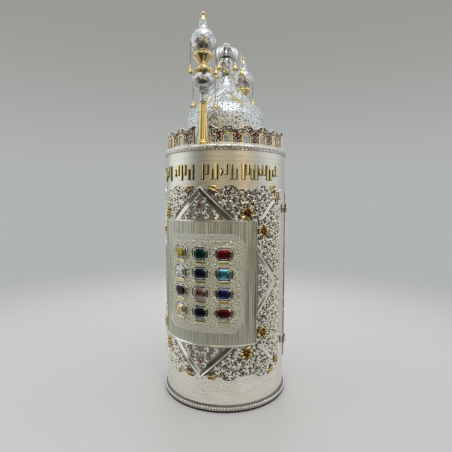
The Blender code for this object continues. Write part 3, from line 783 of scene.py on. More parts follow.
# across from the outer edge inwards, and out from the ground, in millimetres: a ridge with a steep inner
# face, one broad polished strip falling slightly inwards, and a fine bead
mouldingSection = [(-0.9, -0.4), (13.4, -0.4), (13.4, 0.9), (13.1, 1.6), (12.4, 1.9), (11.7, 1.7),
                   (11.4, 1.1), (3.4, 1.95), (1.9, 3.1), (1.2, 3.5), (0.6, 3.2), (0.0, 1.4), (-0.9, 0.9)]


def triangleShapes():
    # first foot, apex and last foot of each
    wide, low, high = arcAt(triangles["endAngle"]), triangles["endBase"], triangles["endApex"]
    near, far, half = arcAt(triangles["sideNear"]), arcAt(triangles["sideFar"]), triangles["sideHalf"]
    shapes = {"upper": ((-wide, low), (0.0, high), (wide, low)),
              "lower": ((wide, -low), (0.0, -high), (-wide, -low)),
              "right": ((near, half), (far, 0.0), (near, -half)),
              "left": ((-near, -half), (-far, 0.0), (-near, half))}
    return {place: tuple((across, caseMiddle + up) for across, up in corners)
            for place, corners in shapes.items()}


def addMoulding(side, place, corners):
    # two mitred legs, run past the base line and cut off along it, and a thin bead along the base
    first, apex, last = corners
    ends = [(apex[0] + (foot[0] - apex[0]) * 1.25, apex[1] + (foot[1] - apex[1]) * 1.25)
            for foot in (first, last)]
    rough = Piece(side)
    rough.addStrip(subdivide([ends[0], apex, ends[1]], 0.006), scaled(mouldingSection, -0.001, 0.001),
                   lift=field["rise"])
    mesh = bpy.data.meshes.new("legs")
    mesh.from_pydata(rough.points, [], rough.faces)
    cut = bmesh.new()
    cut.from_mesh(mesh)
    bmesh.ops.recalc_face_normals(cut, faces=cut.faces[:])
    middle = Vector(((first[0] + last[0]) / 2, (first[1] + last[1]) / 2, 0.0))
    sliced = cutFlat(cut, middle, middle - Vector((*apex, 0.0)), True)
    edges = [item for item in sliced["geom_cut"] if isinstance(item, bmesh.types.BMEdge)]
    bmesh.ops.holes_fill(cut, edges=edges)
    cut.to_mesh(mesh)
    cut.free()
    work = Piece(side)
    work.addMesh(mesh)
    # the broad strip of the right leg of the upper and lower frames takes the darker silver: painted shade
    for index, face in enumerate(work.faces):
        centre = np.mean([work.points[corner] for corner in face], axis=0)
        strip = 0.0011 < centre[2] - field["rise"] < 0.0020
        if place in ("upper", "lower") and strip and centre[0] > apex[0]:
            work.zones[index] = 1
    work.addStrip(subdivide([first, last], 0.006), roundSection(0.0012, 0.0026), lift=field["rise"])
    name = side + "_" + place + "_triangle_"
    work.make(name + "moulding", ["frame", "framePaintedShade"], "polished_silver", name + "frame", 25.0)


for side in sides:
    addWall(side)
    addField(side)
    for place, corners in triangleShapes().items():
        addMoulding(side, place, corners)
print("walls, fields and mouldings made")


# filigree: curled leaves packed over the darkened ground

filigree = {"pitch": 0.0094, "curl": 0.0043, "width": 0.00182, "rise": 0.0027, "seed": 11,
            "fillPitch": 0.0049, "fillCurl": 0.0021, "fillAway": 0.0059, "bead": 0.00095, "beadPitch": 0.0026,
            # a curl's turn and how far in it winds; its leaflets' place, two lengths and lean
            "sweep": 290.0, "wound": 0.70, "leafletEnd": 0.62, "leaflet": (0.34, 0.40), "leafletLean": 42.0}
flowers = {"radius": 0.0165, "inner": (40.0, 0.1575), "outer": (55.8, 0.1160),
           "cup": (0.00759, 0.0018), "collar": 0.0036, "eye": (0.0027, 0.0050),
           # petals of each ring: how many, foot and length as shares of the radius, half width, lift
           "petals": ((7, 0.40, 0.60, 0.0054, 0.0016), (5, 0.22, 0.36, 0.0042, 0.0004))}
leaves = {"length": 0.0300, "width": 0.0060, "away": 0.0085,
          # where each lies, and its lean above and below the middle
          "spots": ((11.4, 0.2085, (25.0, 25.0)), (67.0, 0.2100, (-36.0, 35.0)),
                    (73.6, 0.1940, (-74.0, 78.0)))}


def pointInside(point, outline):
    inside = False
    for index, here in enumerate(outline):
        before = outline[index - 1]
        if (here[1] > point[1]) != (before[1] > point[1]):
            cross = (before[0] - here[0]) * (point[1] - here[1]) / (before[1] - here[1]) + here[0]
            inside ^= point[0] < cross
    return inside


def pathDistance(point, path, looped=True):
    nearest = 1.0
    for index in range(0 if looped else 1, len(path)):
        (ax, ay), (bx, by) = path[index - 1], path[index]
        wide, tall = bx - ax, by - ay
        span = wide ** 2 + tall ** 2 or 1.0
        share = max(0.0, min(1.0, ((point[0] - ax) * wide + (point[1] - ay) * tall) / span))
        nearest = min(nearest, math.hypot(point[0] - ax - share * wide, point[1] - ay - share * tall))
    return nearest


def allAway(point, spots, gap):
    return all(math.dist(point, spot) > gap for spot in spots)


def scatter(pitch, low, high, allowed, seed, tries=26000):
    # points no nearer to each other than the pitch
    draw = random.Random(seed)
    cell = pitch / math.sqrt(2)
    kept = {}
    for attempt in range(tries):
        point = (draw.uniform(low[0], high[0]), draw.uniform(low[1], high[1]))
        key = (int(point[0] // cell), int(point[1] // cell))
        near = (kept.get((key[0] + i, key[1] + j)) for i in range(-2, 3) for j in range(-2, 3))
        if any(other and math.dist(other, point) < pitch for other in near):
            continue
        if allowed(point):
            kept[key] = point
    return list(kept.values())


def addCurl(work, centre, size, turn, hand, lift, lobes=4):
    # one curled leaf: a rounded spiral stem that ends in a bead, with leaflets on its back
    width, rise = filigree["width"] * size / filigree["curl"], filigree["rise"]
    stem = shares(9 if lobes > 3 else 7)
    sweep, lean = (hand * math.radians(filigree[key]) for key in ("sweep", "leafletLean"))

    def along(share):
        return polar(centre, size * (1.0 - filigree["wound"] * share), turn + sweep * share)
    work.addStrip([along(share) for share in stem],
                  archSection(width, (width * 0.82, rise * 0.62), (width * 0.30, rise)),
                  [0.3 + 0.8 * math.sin(math.pi * min(1.0, 0.06 + 0.74 * share)) ** 0.8 for share in stem],
                  lift=lift)
    work.addDome(along(1.0), size * 0.25, rise * 1.15, 6, 1, lift=lift)
    for k in range(lobes):
        share = (k + 0.3) / (lobes + 0.4) * filigree["leafletEnd"]
        angle = turn + sweep * share
        foot = along(share)
        bend = polar(foot, size * filigree["leaflet"][0], angle)
        tip = polar(bend, size * filigree["leaflet"][1], angle - lean)
        work.addStrip([foot, bend, tip], archSection(width * 0.9, (width * 0.4, rise * 0.9)), [1.0, 1.0, 0.3],
                      lift=lift)


fieldLimit = fieldOutline()
triangleLimits = [triangleShapes()[place] for place in ("upper", "right")]
ribbonLimit = ribbonPath(1, 1)


def fieldClear(point, margin):
    # whether a curl of this size fits between everything else that stands on the field
    x, y = abs(point[0]), abs(point[1] - caseMiddle)
    here = (x, caseMiddle + y)
    if x > arcAt(case["fieldAngle"]) - margin:
        return False
    if x < arcAt(case["panelAngle"]) + margin and y < case["panelHeight"] + margin:
        return False
    if not pointInside(here, fieldLimit) or pathDistance(here, fieldLimit) < margin * 0.9:
        return False
    for corners in triangleLimits:
        if pointInside(here, corners) or pathDistance(here, corners) < margin + 0.0018:
            return False
    for angle in case["ringAngles"][2:]:
        gap = abs(math.dist(here, (arcAt(angle), caseMiddle + case["ringHeight"])) - case["ringRadius"])
        if gap < margin * 0.85:
            return False
    if pathDistance(here, ribbonLimit, False) < margin + field["strip"]:
        return False
    for spots, gap in (((flowers["inner"], flowers["outer"]), flowers["radius"] * 0.78),
                       ([spot[:2] for spot in leaves["spots"]], leaves["away"])):
        if any(math.dist(here, (arcAt(angle), caseMiddle + up)) < gap + margin for angle, up in spots):
            return False
    return True


def addFiligree(side):
    seed = filigree["seed"]
    draw = random.Random(seed)
    reach = ((0.0, fieldLimit[0][1] - 0.5), (arcAt(case["fieldAngle"]), 0.52))
    spots = scatter(filigree["pitch"], *reach, lambda point: fieldClear(point, filigree["curl"] * 0.95), seed)
    curls = [(spot, filigree["curl"] * draw.uniform(0.90, 1.15), 4) for spot in spots]
    beads = []
    if side == "front":
        more = scatter(filigree["fillPitch"], *reach, lambda point: (
            allAway(point, spots, filigree["fillAway"])
            and fieldClear(point, filigree["fillCurl"] * 1.1)), seed + 1)
        curls += [(spot, filigree["fillCurl"] * draw.uniform(0.9, 1.25), 2) for spot in more]
        beads = scatter(filigree["beadPitch"], *reach, lambda point: (
            all(math.dist(point, spot) > size * 1.25 for spot, size, lobes in curls)
            and fieldClear(point, 0.0010)), seed + 2)
    low = field["rise"] * 0.8
    for half, above in (("upper", True), ("lower", False)):
        work = Piece(side)
        for across, up in beads:
            if (up > caseMiddle) == above:
                for hand in (-1, 1):
                    work.addDome((hand * across, up), filigree["bead"], 0.0019, 6, 1, lift=low)
        for spot, size, lobes in curls:
            if (spot[1] > caseMiddle) != above:
                continue
            turn = draw.uniform(0.0, math.tau)
            hand = draw.choice((-1, 1))
            lift = low + draw.uniform(0.0, 0.0006)
            addCurl(work, spot, size, turn, hand, lift, lobes)
            addCurl(work, (-spot[0], spot[1]), size, math.pi - turn, -hand, lift, lobes)
        work.make("{}_{}_filigree".format(side, half), "filigree", "relief_silver")
        print(side, half, "filigree:", len(work.faces), "faces")


# what fills the triangles: a paler floor, fine scrollwork and one red stone each

scrollwork = {"curl": 0.0056, "pitch": 0.0126, "fill": 0.0022, "fillPitch": 0.0047, "stone": 0.0031,
              "stoneUp": {"upper": 0.032, "lower": 0.032, "right": 0.022, "left": 0.022}, "seed": 4}


def insetTriangle(corners, inset, base):
    # the opening left inside the two legs and the base bead
    first, apex, last = (Vector(corner) for corner in corners)
    middle = (first + last) / 2
    half = (last - first).length / 2
    height = (apex - middle).length
    up, along = (apex - middle).normalized(), (last - first).normalized()
    drop = inset * math.hypot(half, height) / half
    narrow = half * (height - drop - base) / height
    low = middle + up * base
    return [tuple(low - along * narrow), tuple(apex - up * drop), tuple(low + along * narrow)]


def addScrollwork(side, place, corners):
    curl, fill, stoneRadius, seed = (scrollwork[key] for key in ("curl", "fill", "stone", "seed"))
    opening = insetTriangle(corners, triangles["inset"], 0.002)
    work = Piece(side)
    floorEdge = insetTriangle(corners, triangles["inset"] - 0.0014, 0.001)
    if floorEdge[0][0] > floorEdge[2][0]:
        floorEdge = floorEdge[::-1]
    work.addMesh(flatPlate([floorEdge], field["rise"] * 0.5, field["rise"] + 0.0002), 1)
    draw = random.Random(seed)
    first, apex, last = (Vector(corner) for corner in opening)
    middle = (first + last) / 2
    up, along = (apex - middle).normalized(), (last - first).normalized()
    stoneSpot = tuple(middle + up * scrollwork["stoneUp"][place])
    size = ((last - first).length / 2, (apex - middle).length)

    def allowed(point):
        here = tuple(middle + along * point[0] + up * point[1])
        return (pointInside(here, opening) and pathDistance(here, opening) > curl * 0.75
                and math.dist(here, stoneSpot) > stoneRadius + curl and point[0] > curl * 0.8)
    spots = scatter(scrollwork["pitch"] * 0.86, (0.0, 0.0), size, allowed, seed, 4000)

    def between(point):
        here = tuple(middle + along * point[0] + up * point[1])
        return (pointInside(here, opening) and math.dist(here, stoneSpot) > stoneRadius * 2.4
                and allAway(point, spots, curl + fill * 0.3))
    small = scatter(scrollwork["fillPitch"], (0.0, 0.0), size, between, seed + 1, 5000)
    base = math.atan2(along[1], along[0])
    flip = 1 if along.cross(up) > 0 else -1
    for across, rise in spots + small:
        turn = draw.uniform(0.0, math.tau)
        hand = draw.choice((-1, 1))
        reach = (curl if (across, rise) in spots else fill) * draw.uniform(0.85, 1.1)
        for mirror in (1, -1):
            spot = tuple(middle + along * across * mirror + up * rise)
            angle = turn if mirror == 1 else math.pi - turn
            addCurl(work, spot, reach, base + flip * angle, hand * mirror * flip, field["rise"] * 0.6,
                    4 if reach > 0.003 else 2)
    work.addCircle(stoneSpot, stoneRadius * 1.25, 14, roundSection(0.0009, 0.0030, 4), field["rise"])
    for bead in arcPath(stoneSpot, stoneRadius * 1.9, 0, 360, 8)[:-1]:
        work.addDome(bead, 0.0011, 0.0022, 6, 1, lift=field["rise"])
    name = side + "_" + place + "_triangle_"
    work.make(name + "scrollwork", ["scroll", "scrollGround"], "relief_silver")
    red = Piece(side)
    red.addDome(stoneSpot, stoneRadius, 0.0034, 12, 4, lift=field["rise"] + 0.0004)
    red.make(name + "stone", "redStone", "gem_red")


# gilt leaves and flowers

def addLeaf(work, foot, length, angle, width, lift, curve):
    # a pointed leaf with raised edges and a sunk midrib
    path, sizes = [], []
    for share in shares(9):
        bend = curve * length * math.sin(math.pi * share)
        path.append((foot[0] + length * share * math.cos(angle) - bend * math.sin(angle),
                     foot[1] + length * share * math.sin(angle) + bend * math.cos(angle)))
        sizes.append(0.06 + 0.94 * math.sin(math.pi * share) ** 0.8 * (1.0 + 0.10 * math.cos(14.0 * share)))
    section = archSection(1.0, (0.95, 0.45), (0.62, 1.0), (0.10, 0.12), sink=0.3)
    work.addStrip(path, scaled(section, width, 0.0026), sizes, lift=lift)


def addLeaves(side):
    work = Piece(side)
    length = leaves["length"]
    for angle, up, leans in leaves["spots"]:
        for signX in (-1, 1):
            for signZ, degrees in zip((1, -1), leans):
                lean = math.radians(degrees)
                slope = math.atan2(-signZ * math.sin(lean), signX * math.cos(lean))
                foot = polar((signX * arcAt(angle), caseMiddle + signZ * up), -length / 2, slope)
                addLeaf(work, foot, length, slope, leaves["width"], field["rise"] * 0.6, 0.12 * signX * signZ)
    work.make(side + "_gilt_leaves", "leafGilt", "gold")


def flowerSpots():
    for kind in ("inner", "outer"):
        angle, up = flowers[kind]
        for end, signZ in (("upper", 1), ("lower", -1)):
            for hand, signX in (("left", -1), ("right", 1)):
                yield "_".join((end, hand, kind, "flower")), (signX * arcAt(angle), caseMiddle + signZ * up)


def addFlower(side, name, centre):
    # two loose rings of cupped petals round a cup darkened with painted shade, with a red stone
    radius, lift = flowers["radius"], field["rise"]
    work = Piece(side)
    draw = random.Random(name)
    for count, foot, length, width, rise in flowers["petals"]:
        turned = draw.uniform(0.0, 1.0)
        for k in range(count):
            angle = math.tau * (k + turned + draw.uniform(-0.14, 0.14)) / count
            long = radius * length * draw.uniform(0.82, 1.08)
            addLeaf(work, polar(centre, radius * foot, angle), long, angle, width, lift + rise,
                    draw.uniform(-0.10, 0.14))
    work.addDome(centre, *flowers["cup"], 16, 2, lift=lift)
    work.addCircle(centre, flowers["collar"], 16, roundSection(0.0009, 0.0042, 4), lift)
    work.make("_".join((side, name, "petals")), "giltRelief", "gold", name if side == "front" else None)
    eye = Piece(side)
    eye.addDome(centre, *flowers["eye"], 12, 3, lift=lift + 0.0006)
    eye.make("_".join((side, name, "stone")), "redStone", "gem_red")


# gilt strokes round the top band, where an inscription would be: separate upright bars and lozenges

strokes = {"low": 0.5236, "high": 0.5570, "half": 0.0030, "rise": 0.0026, "step": 4.02, "edge": 0.0013,
           "drop": (0.0018, -0.0014),
           "groups": ((34.0, 76.0), (-1.0, 29.5), (-30.5, -5.0), (-63.0, -35.0)),
           # how far up the band each kind starts and ends
           "kinds": {"tall": (0.0, 1.0), "high": (0.32, 1.0), "low": (0.0, 0.70), "lozenge": (0.26, 0.74)},
           "order": ("tall", "high", "low", "tall", "lozenge", "high", "tall", "low", "lozenge", "high")}


def addStrokes(side):
    gilt, shadow = Piece(side), Piece(side)
    rise, half = strokes["rise"], strokes["half"]
    face = archSection(1.0, (1.0, rise * 0.6), (0.6, rise), sink=0.0005)
    edge = archSection(1.0, (1.0, 0.0005))
    index = 0
    for start, end in strokes["groups"]:
        angle = start + strokes["step"] * 0.5
        while angle < end:
            kind = strokes["order"][index % len(strokes["order"])]
            low, high = (strokes["low"] + (strokes["high"] - strokes["low"]) * share
                         for share in strokes["kinds"][kind])
            heights, halves = [low, high], [half * 0.92, half * 1.05]
            if kind == "lozenge":
                heights, halves = [low, (low + high) / 2, high], [half * 0.1, half * 1.5, half * 0.1]
            path = [(arcAt(angle), height) for height in heights]
            gilt.addStrip(path, face, halves, tapered=False)
            shadow.addStrip([(x + strokes["drop"][0], up + strokes["drop"][1]) for x, up in path], edge,
                            [wide + strokes["edge"] for wide in halves], tapered=False)
            index += 1
            angle += strokes["step"]
    gilt.make(side + "_band_strokes", "stroke", "gold")
    shadow.make(side + "_band_stroke_shadows", "shadow", "relief_silver")


# breastplate: hammered plaque, stepped settings and twelve stones

plaque = {"angle": 38.4, "height": 0.1105, "chamfer": 0.021, "rise": 0.0020, "border": 0.0135,
          "pitch": 0.044, "turn": 2.5 * 360.0 / 44, "middle": 0.2935,
          "gem": (0.0286, 0.0216, 0.0052), "setting": (0.0412, 0.0342, 0.0092),    # width, height, corner
          "lug": (0.0034, 0.0016), "shoulder": (0.0084, 0.0026), "claw": (0.0, 0.0022, 0.0034),
          "barDrop": 0.0203, "bar": (0.0220, 0.0056), "notch": 0.0036}
# the setting's outer wire, sloping tray and raised collet, and the stone's steps, as (inwards, out)
settingSection = [(-0.0002, -0.0008), (0.0068, -0.0008), (0.0068, 0.0028), (0.0062, 0.0038), (0.0052, 0.0034),
                  (0.0047, 0.0010), (0.0020, 0.0003), (0.0015, 0.0024), (0.0007, 0.0029), (0.0, 0.0016)]
gemSteps = ((0.0068, 0.0002), (0.0034, 0.0008), (0.0003, 0.0018), (0.0003, 0.0023), (0.0024, 0.0043),
            (0.0058, 0.0055))


def octagon(halfWidth, halfHeight, corner, centre):
    outline = []
    for signX, signZ, order in ((1, -1, 0), (1, 1, 1), (-1, 1, 0), (-1, -1, 1)):
        near = (centre[0] + signX * (halfWidth - corner), centre[1] + signZ * halfHeight)
        far = (centre[0] + signX * halfWidth, centre[1] + signZ * (halfHeight - corner))
        outline.extend((far, near) if order else (near, far))
    return outline


def addPlaque():
    middle = (0.0, caseMiddle)
    wide = arcAt(plaque["angle"])
    tall, border, chamfer = plaque["height"], plaque["border"], plaque["chamfer"]
    inner = octagon(wide - border, tall - border, chamfer - 0.004, middle)
    work = Piece("front")
    work.addMesh(flatPlate([octagon(wide, tall, chamfer, middle)], -0.0003, plaque["rise"], edge=0.0005), 1)
    work.addMesh(flatPlate([inner], 0.0, plaque["rise"] + 0.0004, edge=0.0002))
    for outline in (octagon(wide - 0.0012, tall - 0.0012, chamfer, middle), inner):
        work.addStrip(subdivide(outline, 0.006, True), roundSection(0.0007, 0.0026, 4), looped=True, zone=2)
    work.make("breastplate", ["plaque", "plaqueEdge", "frame"], "brushed_silver", "breastplate_plaque")


def addSetting(work, centre):
    # stepped tray with mitred corners, two side lugs, two shoulders and four claws
    base = plaque["rise"]
    (gemWidth, gemHeight, _), (width, height, corner) = plaque["gem"], plaque["setting"]
    work.addStrip(subdivide(octagon(width / 2, height / 2, corner, centre), 0.004, True), settingSection,
                  looped=True, lift=base)
    for signX in (-1, 1):
        work.addDome((centre[0] + signX * (width / 2 + 0.0006), centre[1]), *plaque["lug"], 4, 2, lift=base,
                     squash=0.8)
        long, inset = plaque["shoulder"]
        up = centre[1] + signX * (height / 2 - inset)
        ends = [(centre[0] + half, up) for half in (-long / 2, long / 2)]
        work.addStrip(ends, roundSection(0.0012, 0.0018, 3), lift=base + 0.0006)
        for signZ in (-1, 1):
            claw = [(centre[0] + signX * (gemWidth / 2 - inset), centre[1] + signZ * (gemHeight / 2 - inset))
                    for inset in plaque["claw"]]
            work.addStrip(claw, roundSection(0.0010, 0.0010, 4), [1.2, 1.0, 0.4], lift=base + 0.0026)


def addBar(work, across, up):
    # a gilt bar with five plain notches
    wide, half = plaque["bar"][0] / 2, plaque["bar"][1] / 2
    work.addStrip(subdivide([(across - wide, up), (across + wide, up)], 0.003),
                  archSection(half, (half * 0.9, 0.0011), (half * 0.6, 0.0016)), lift=plaque["rise"])
    for k in range(-2, 3):
        notch = across + k * plaque["notch"]
        work.addStrip([(notch, up - half * 0.5), (notch, up + half * 0.5)], roundSection(0.0005, 0.0006, 3),
                      lift=plaque["rise"] + 0.0015)


def addGem(centre, name, place):
    # an emerald cut: small base, girdle, two steep crown steps and the table
    wide, tall, corner = plaque["gem"]
    gem = Piece("front")
    gem.addRings([[(across, up, plaque["rise"] + out) for across, up in
                   octagon(wide / 2 - inset, tall / 2 - inset, max(0.0014, corner - 0.62 * inset), centre)]
                  for inset, out in gemSteps])
    gem.make("{}_stone_{}_{}".format(name, *place), "gem_" + name, "gem_" + name,
             "gem_row{}_column{}".format(*place), 8.0)


def addStones():
    settings, bars = Piece("front"), Piece("front")
    for row, colours in enumerate(gemColours):
        for column, (name, colour) in enumerate(colours):
            centre = (arcAt((column - 1) * plaque["turn"]), plaque["middle"] + plaque["pitch"] * (1.5 - row))
            finishes["gem_" + name] = stone(name + "_stone", colour)
            addSetting(settings, centre)
            addBar(bars, centre[0], centre[1] - plaque["barDrop"])
            addGem(centre, name, (row + 1, column + 1))
    settings.make("stone_settings", "setting", "polished_silver")
    bars.make("gilt_bars", "giltBar", "gold", crease=20.0)


for side in sides:
    addFiligree(side)
    for place, corners in triangleShapes().items():
        addScrollwork(side, place, corners)
    addLeaves(side)
    for name, centre in flowerSpots():
        addFlower(side, name, centre)
    addStrokes(side)
addPlaque()
addStones()
print("filigree, leaves, flowers, strokes and breastplate made")


# turned and wound work, drawn in true coordinates

def unit(vector):
    return vector / (np.linalg.norm(vector) or 1.0)


def turnedRings(profile, centre, steps, shape=None):
    # a profile of (radius, height), bottom to top, turned about an upright axis
    turns = [math.tau * k / steps for k in range(steps)]
    rings = []
    for radius, height in profile:
        reaches = [max(radius, 0.0001) + (shape(turn, height) if shape else 0.0) for turn in turns]
        rings.append([(centre[0] + reach * math.sin(turn), centre[1] - reach * math.cos(turn), height)
                      for turn, reach in zip(turns, reaches)])
    return rings


def addTurned(work, profile, centre, steps, shape=None):
    work.addRings(turnedRings(profile, centre, steps, shape))


def addKnobs(work, centre, count, reach, foot, height, radius, outline, first=0.0):
    # a ring of small turned knobs
    for k in range(count):
        angle = math.tau * (k + first) / count
        knob = (centre[0] + reach * math.sin(angle), centre[1] - reach * math.cos(angle))
        addTurned(work, [(0.0, foot)] + arcPath((0.0, height), radius, *outline), knob, 8)


def addBand(work, profile, start, end, steps):
    # a closed profile of (radius, height) swept round the case from one angle to another
    work.addRings([[tuple(spot(start + (end - start) * share, reach, height)) for reach, height in profile]
                   for share in shares(steps)])


def addTube(work, path, radius, around=6, looped=False):
    # a round wire along a path in space
    path = [np.array(point, dtype=float) for point in path]
    count, aside, rings = len(path), None, []
    for index, here in enumerate(path):
        before = path[index - 1] if index or looped else here
        after = path[(index + 1) % count] if index < count - 1 or looped else here
        along = unit(after - before)
        if aside is None:
            aside = np.cross(along, (0.0, 0.0, 1.0) if abs(along[2]) < 0.9 else (1.0, 0.0, 0.0))
        aside = unit(aside - along * np.dot(aside, along))
        up = np.cross(along, aside)
        thick = radius[index] if isinstance(radius, list) else radius
        rings.append([tuple(here + thick * (aside * math.cos(math.tau * k / around)
                                            + up * math.sin(math.tau * k / around))) for k in range(around)])
    work.addRings(rings, looped=looped)


def addLink(work, centre, tall, wide, wire, turn, along=(0.0, 0.0, 1.0)):
    # one long chain link
    along = np.array(along)
    across = unit(np.cross(along, (math.cos(turn), math.sin(turn), 0.0)))
    angles = [math.tau * (k + 0.5) / 8 for k in range(8)]
    addTube(work, [np.array(centre) + across * wide * math.cos(angle) + along * tall * math.sin(angle)
                   for angle in angles], wire, 5, looped=True)


# rims, floors and pads of the two halves

rims = {"topLow": 0.5860, "topHigh": 0.6000, "topReach": 0.1528, "baseLow": 0.0043, "baseHigh": 0.0165,
        "baseReach": 0.1550, "plate": 0.0040, "hingeReach": 0.1529, "hingeTurn": 4.0,
        "topBeads": 51, "topGap": 3.0,      # degrees left free on each side of the hinge
        "baseBeads": 72, "baseGap": 4.2,
        # a bead's rings: share of the step, drop and half height above, size and rise below
        "topBead": ((0.36, 0.0012, 0.0012), (0.216, 0.0001, 0.0008)),
        "baseBead": ((0.0027, -0.0012), (0.0026, -0.0002), (0.0021, 0.0007), (0.0011, 0.0012))}


def halfSpan(side):
    # the two edges of a half, in degrees round the case
    seam = math.degrees(case["seam"] / bodyRadius)
    turned = 0.0 if side == "front" else 180.0
    return turned - 90.0 + seam, turned + 90.0 - seam


def addHingedBand(work, side, profile, steps):
    # nothing near the hinge reaches past its pin, so that the case can open
    near, far = halfSpan(side) if side == "front" else reversed(halfSpan(side))
    hinge = near + math.copysign(rims["hingeTurn"], far - near)
    addBand(work, profile, hinge, far, steps)
    addBand(work, [(min(reach, rims["hingeReach"] - 0.0002), up) for reach, up in profile], near, hinge, 3)


def beadAngles(side, count, gap):
    # even steps along a half, none of them where it would meet the hinge
    angles = [halfSpan(side)[0] + (k + 0.5) * 180.0 / count for k in range(count)]
    return [angle for angle in angles if abs(angle % 360.0 - 270.0) >= gap]


def addTopRim(side):
    low, high, reach = rims["topLow"], rims["topHigh"], rims["topReach"]
    under, wall = high - rims["plate"], bodyRadius - 0.0002
    work = Piece(side, asDrawn)
    addHingedBand(work, side, [
        (case["inside"] - 0.001, under), (wall, under), (wall, low + 0.0004), (reach - 0.0018, low),
        (reach - 0.0009, low + 0.0008), (reach - 0.0012, low + 0.0030),
        *arcPath((reach - 0.0042, low + 0.0086), 0.0050, -42, 62, 8), (bodyRadius - 0.0024, high - 0.0002),
        (bodyRadius - 0.0026, high), (0.0004, high), (0.0004, under)], 93)
    for angle in beadAngles(side, rims["topBeads"], rims["topGap"]):
        rings = []
        for wide, drop, tall in rims["topBead"]:
            corners = arcPath((0.0, 0.0), 1.0, 0, 360, 10)[:-1]
            rings.append([tuple(spot(angle + wide * 180.0 / rims["topBeads"] * x, reach - drop,
                                     low + 0.0019 + tall * y)) for x, y in corners])
        work.addRings(rings, zone=1)

    def tarnishAndShadeMask(point):
        # painted shade under the lip between the beads
        return 1.0 if point[2] > low + 0.0034 else (math.hypot(point[0], point[1]) - 0.1510) / 0.0016
    work.make(side + "_top_rim", ["rim", "bead"], "polished_silver", side + "_top", raised=tarnishAndShadeMask)


def addBaseRim(side):
    low, high, reach = rims["baseLow"], rims["baseHigh"], rims["baseReach"]
    work = Piece(side, asDrawn)
    addHingedBand(work, side, [
        (0.0004, low), (reach - 0.0016, low), (reach - 0.0006, low + 0.0006), (reach - 0.0004, low + 0.0012),
        (reach - 0.0014, low + 0.0020), *arcPath((reach - 0.0034, low + 0.0054), 0.0030, -52, 58, 6),
        (reach - 0.0030, low + 0.0094), (reach - 0.0038, high - 0.0008), (bodyRadius + 0.0004, high),
        (bodyRadius + 0.0003, low + 0.0042), (0.0004, low + 0.0040)], 93)
    for angle in beadAngles(side, rims["baseBeads"], rims["baseGap"]):
        along, up = spot(angle + 90.0, 0.95, 0.0), np.array((0.0, 0.0, 1.15))
        rings = []
        for size, rise in rims["baseBead"]:
            centre = spot(angle, reach - 0.0007 + rise, low + 0.0053)
            rings.append([tuple(centre + along * x + up * y)
                          for x, y in arcPath((0.0, 0.0), size, 0, 360, 8)[:-1]])
        work.addRings(rings, zone=1)
    work.make(side + "_base_rim", ["baseRim", "bead"], "polished_silver", side + "_base")


def addPad(side):
    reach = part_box(side + "_base_pad")[1][0]
    pad = Piece(side, asDrawn)
    addHingedBand(pad, side, [(0.0006, 0.0), (reach - 0.0005, 0.0), (reach, 0.0006), (reach, 0.0034),
                              (reach - 0.0006, 0.0040), (0.0006, 0.0040)], 80)
    pad.make(side + "_felt_pad", "felt", "felt", side + "_base_pad")


# pierced gallery on the top, two quarters to each half

gallery = {"radius": 0.144, "thickness": 0.0024, "start": 7.0, "modules": 5, "pitch": 16.36,
           "peak": 0.0410, "valley": 0.0330, "archHalf": 0.0075, "archLow": 0.0030, "archSpring": 0.0145,
           "archTop": 0.0226, "band": 0.0038, "stoneUp": 0.0215, "lozengeUp": 0.0130, "seed": 7,
           "sprigPitch": 0.0041, "sprig": 0.0017, "sprigBend": 46.0, "beads": 44}


def pointedArch(middle, half, low, spring, top, steps=7):
    # upright sides and two arcs that meet in a point
    rise = top - spring
    radius = (half * half + rise * rise) / (2 * half)
    sweep = math.degrees(math.asin(min(1.0, rise / radius)))
    right = arcPath((middle + half - radius, spring), radius, 0.0, sweep, steps)
    left = [(2 * middle - across, up) for across, up in reversed(right[:-1])]
    return [(middle + half, low)] + right + left + [(middle - half, low)]


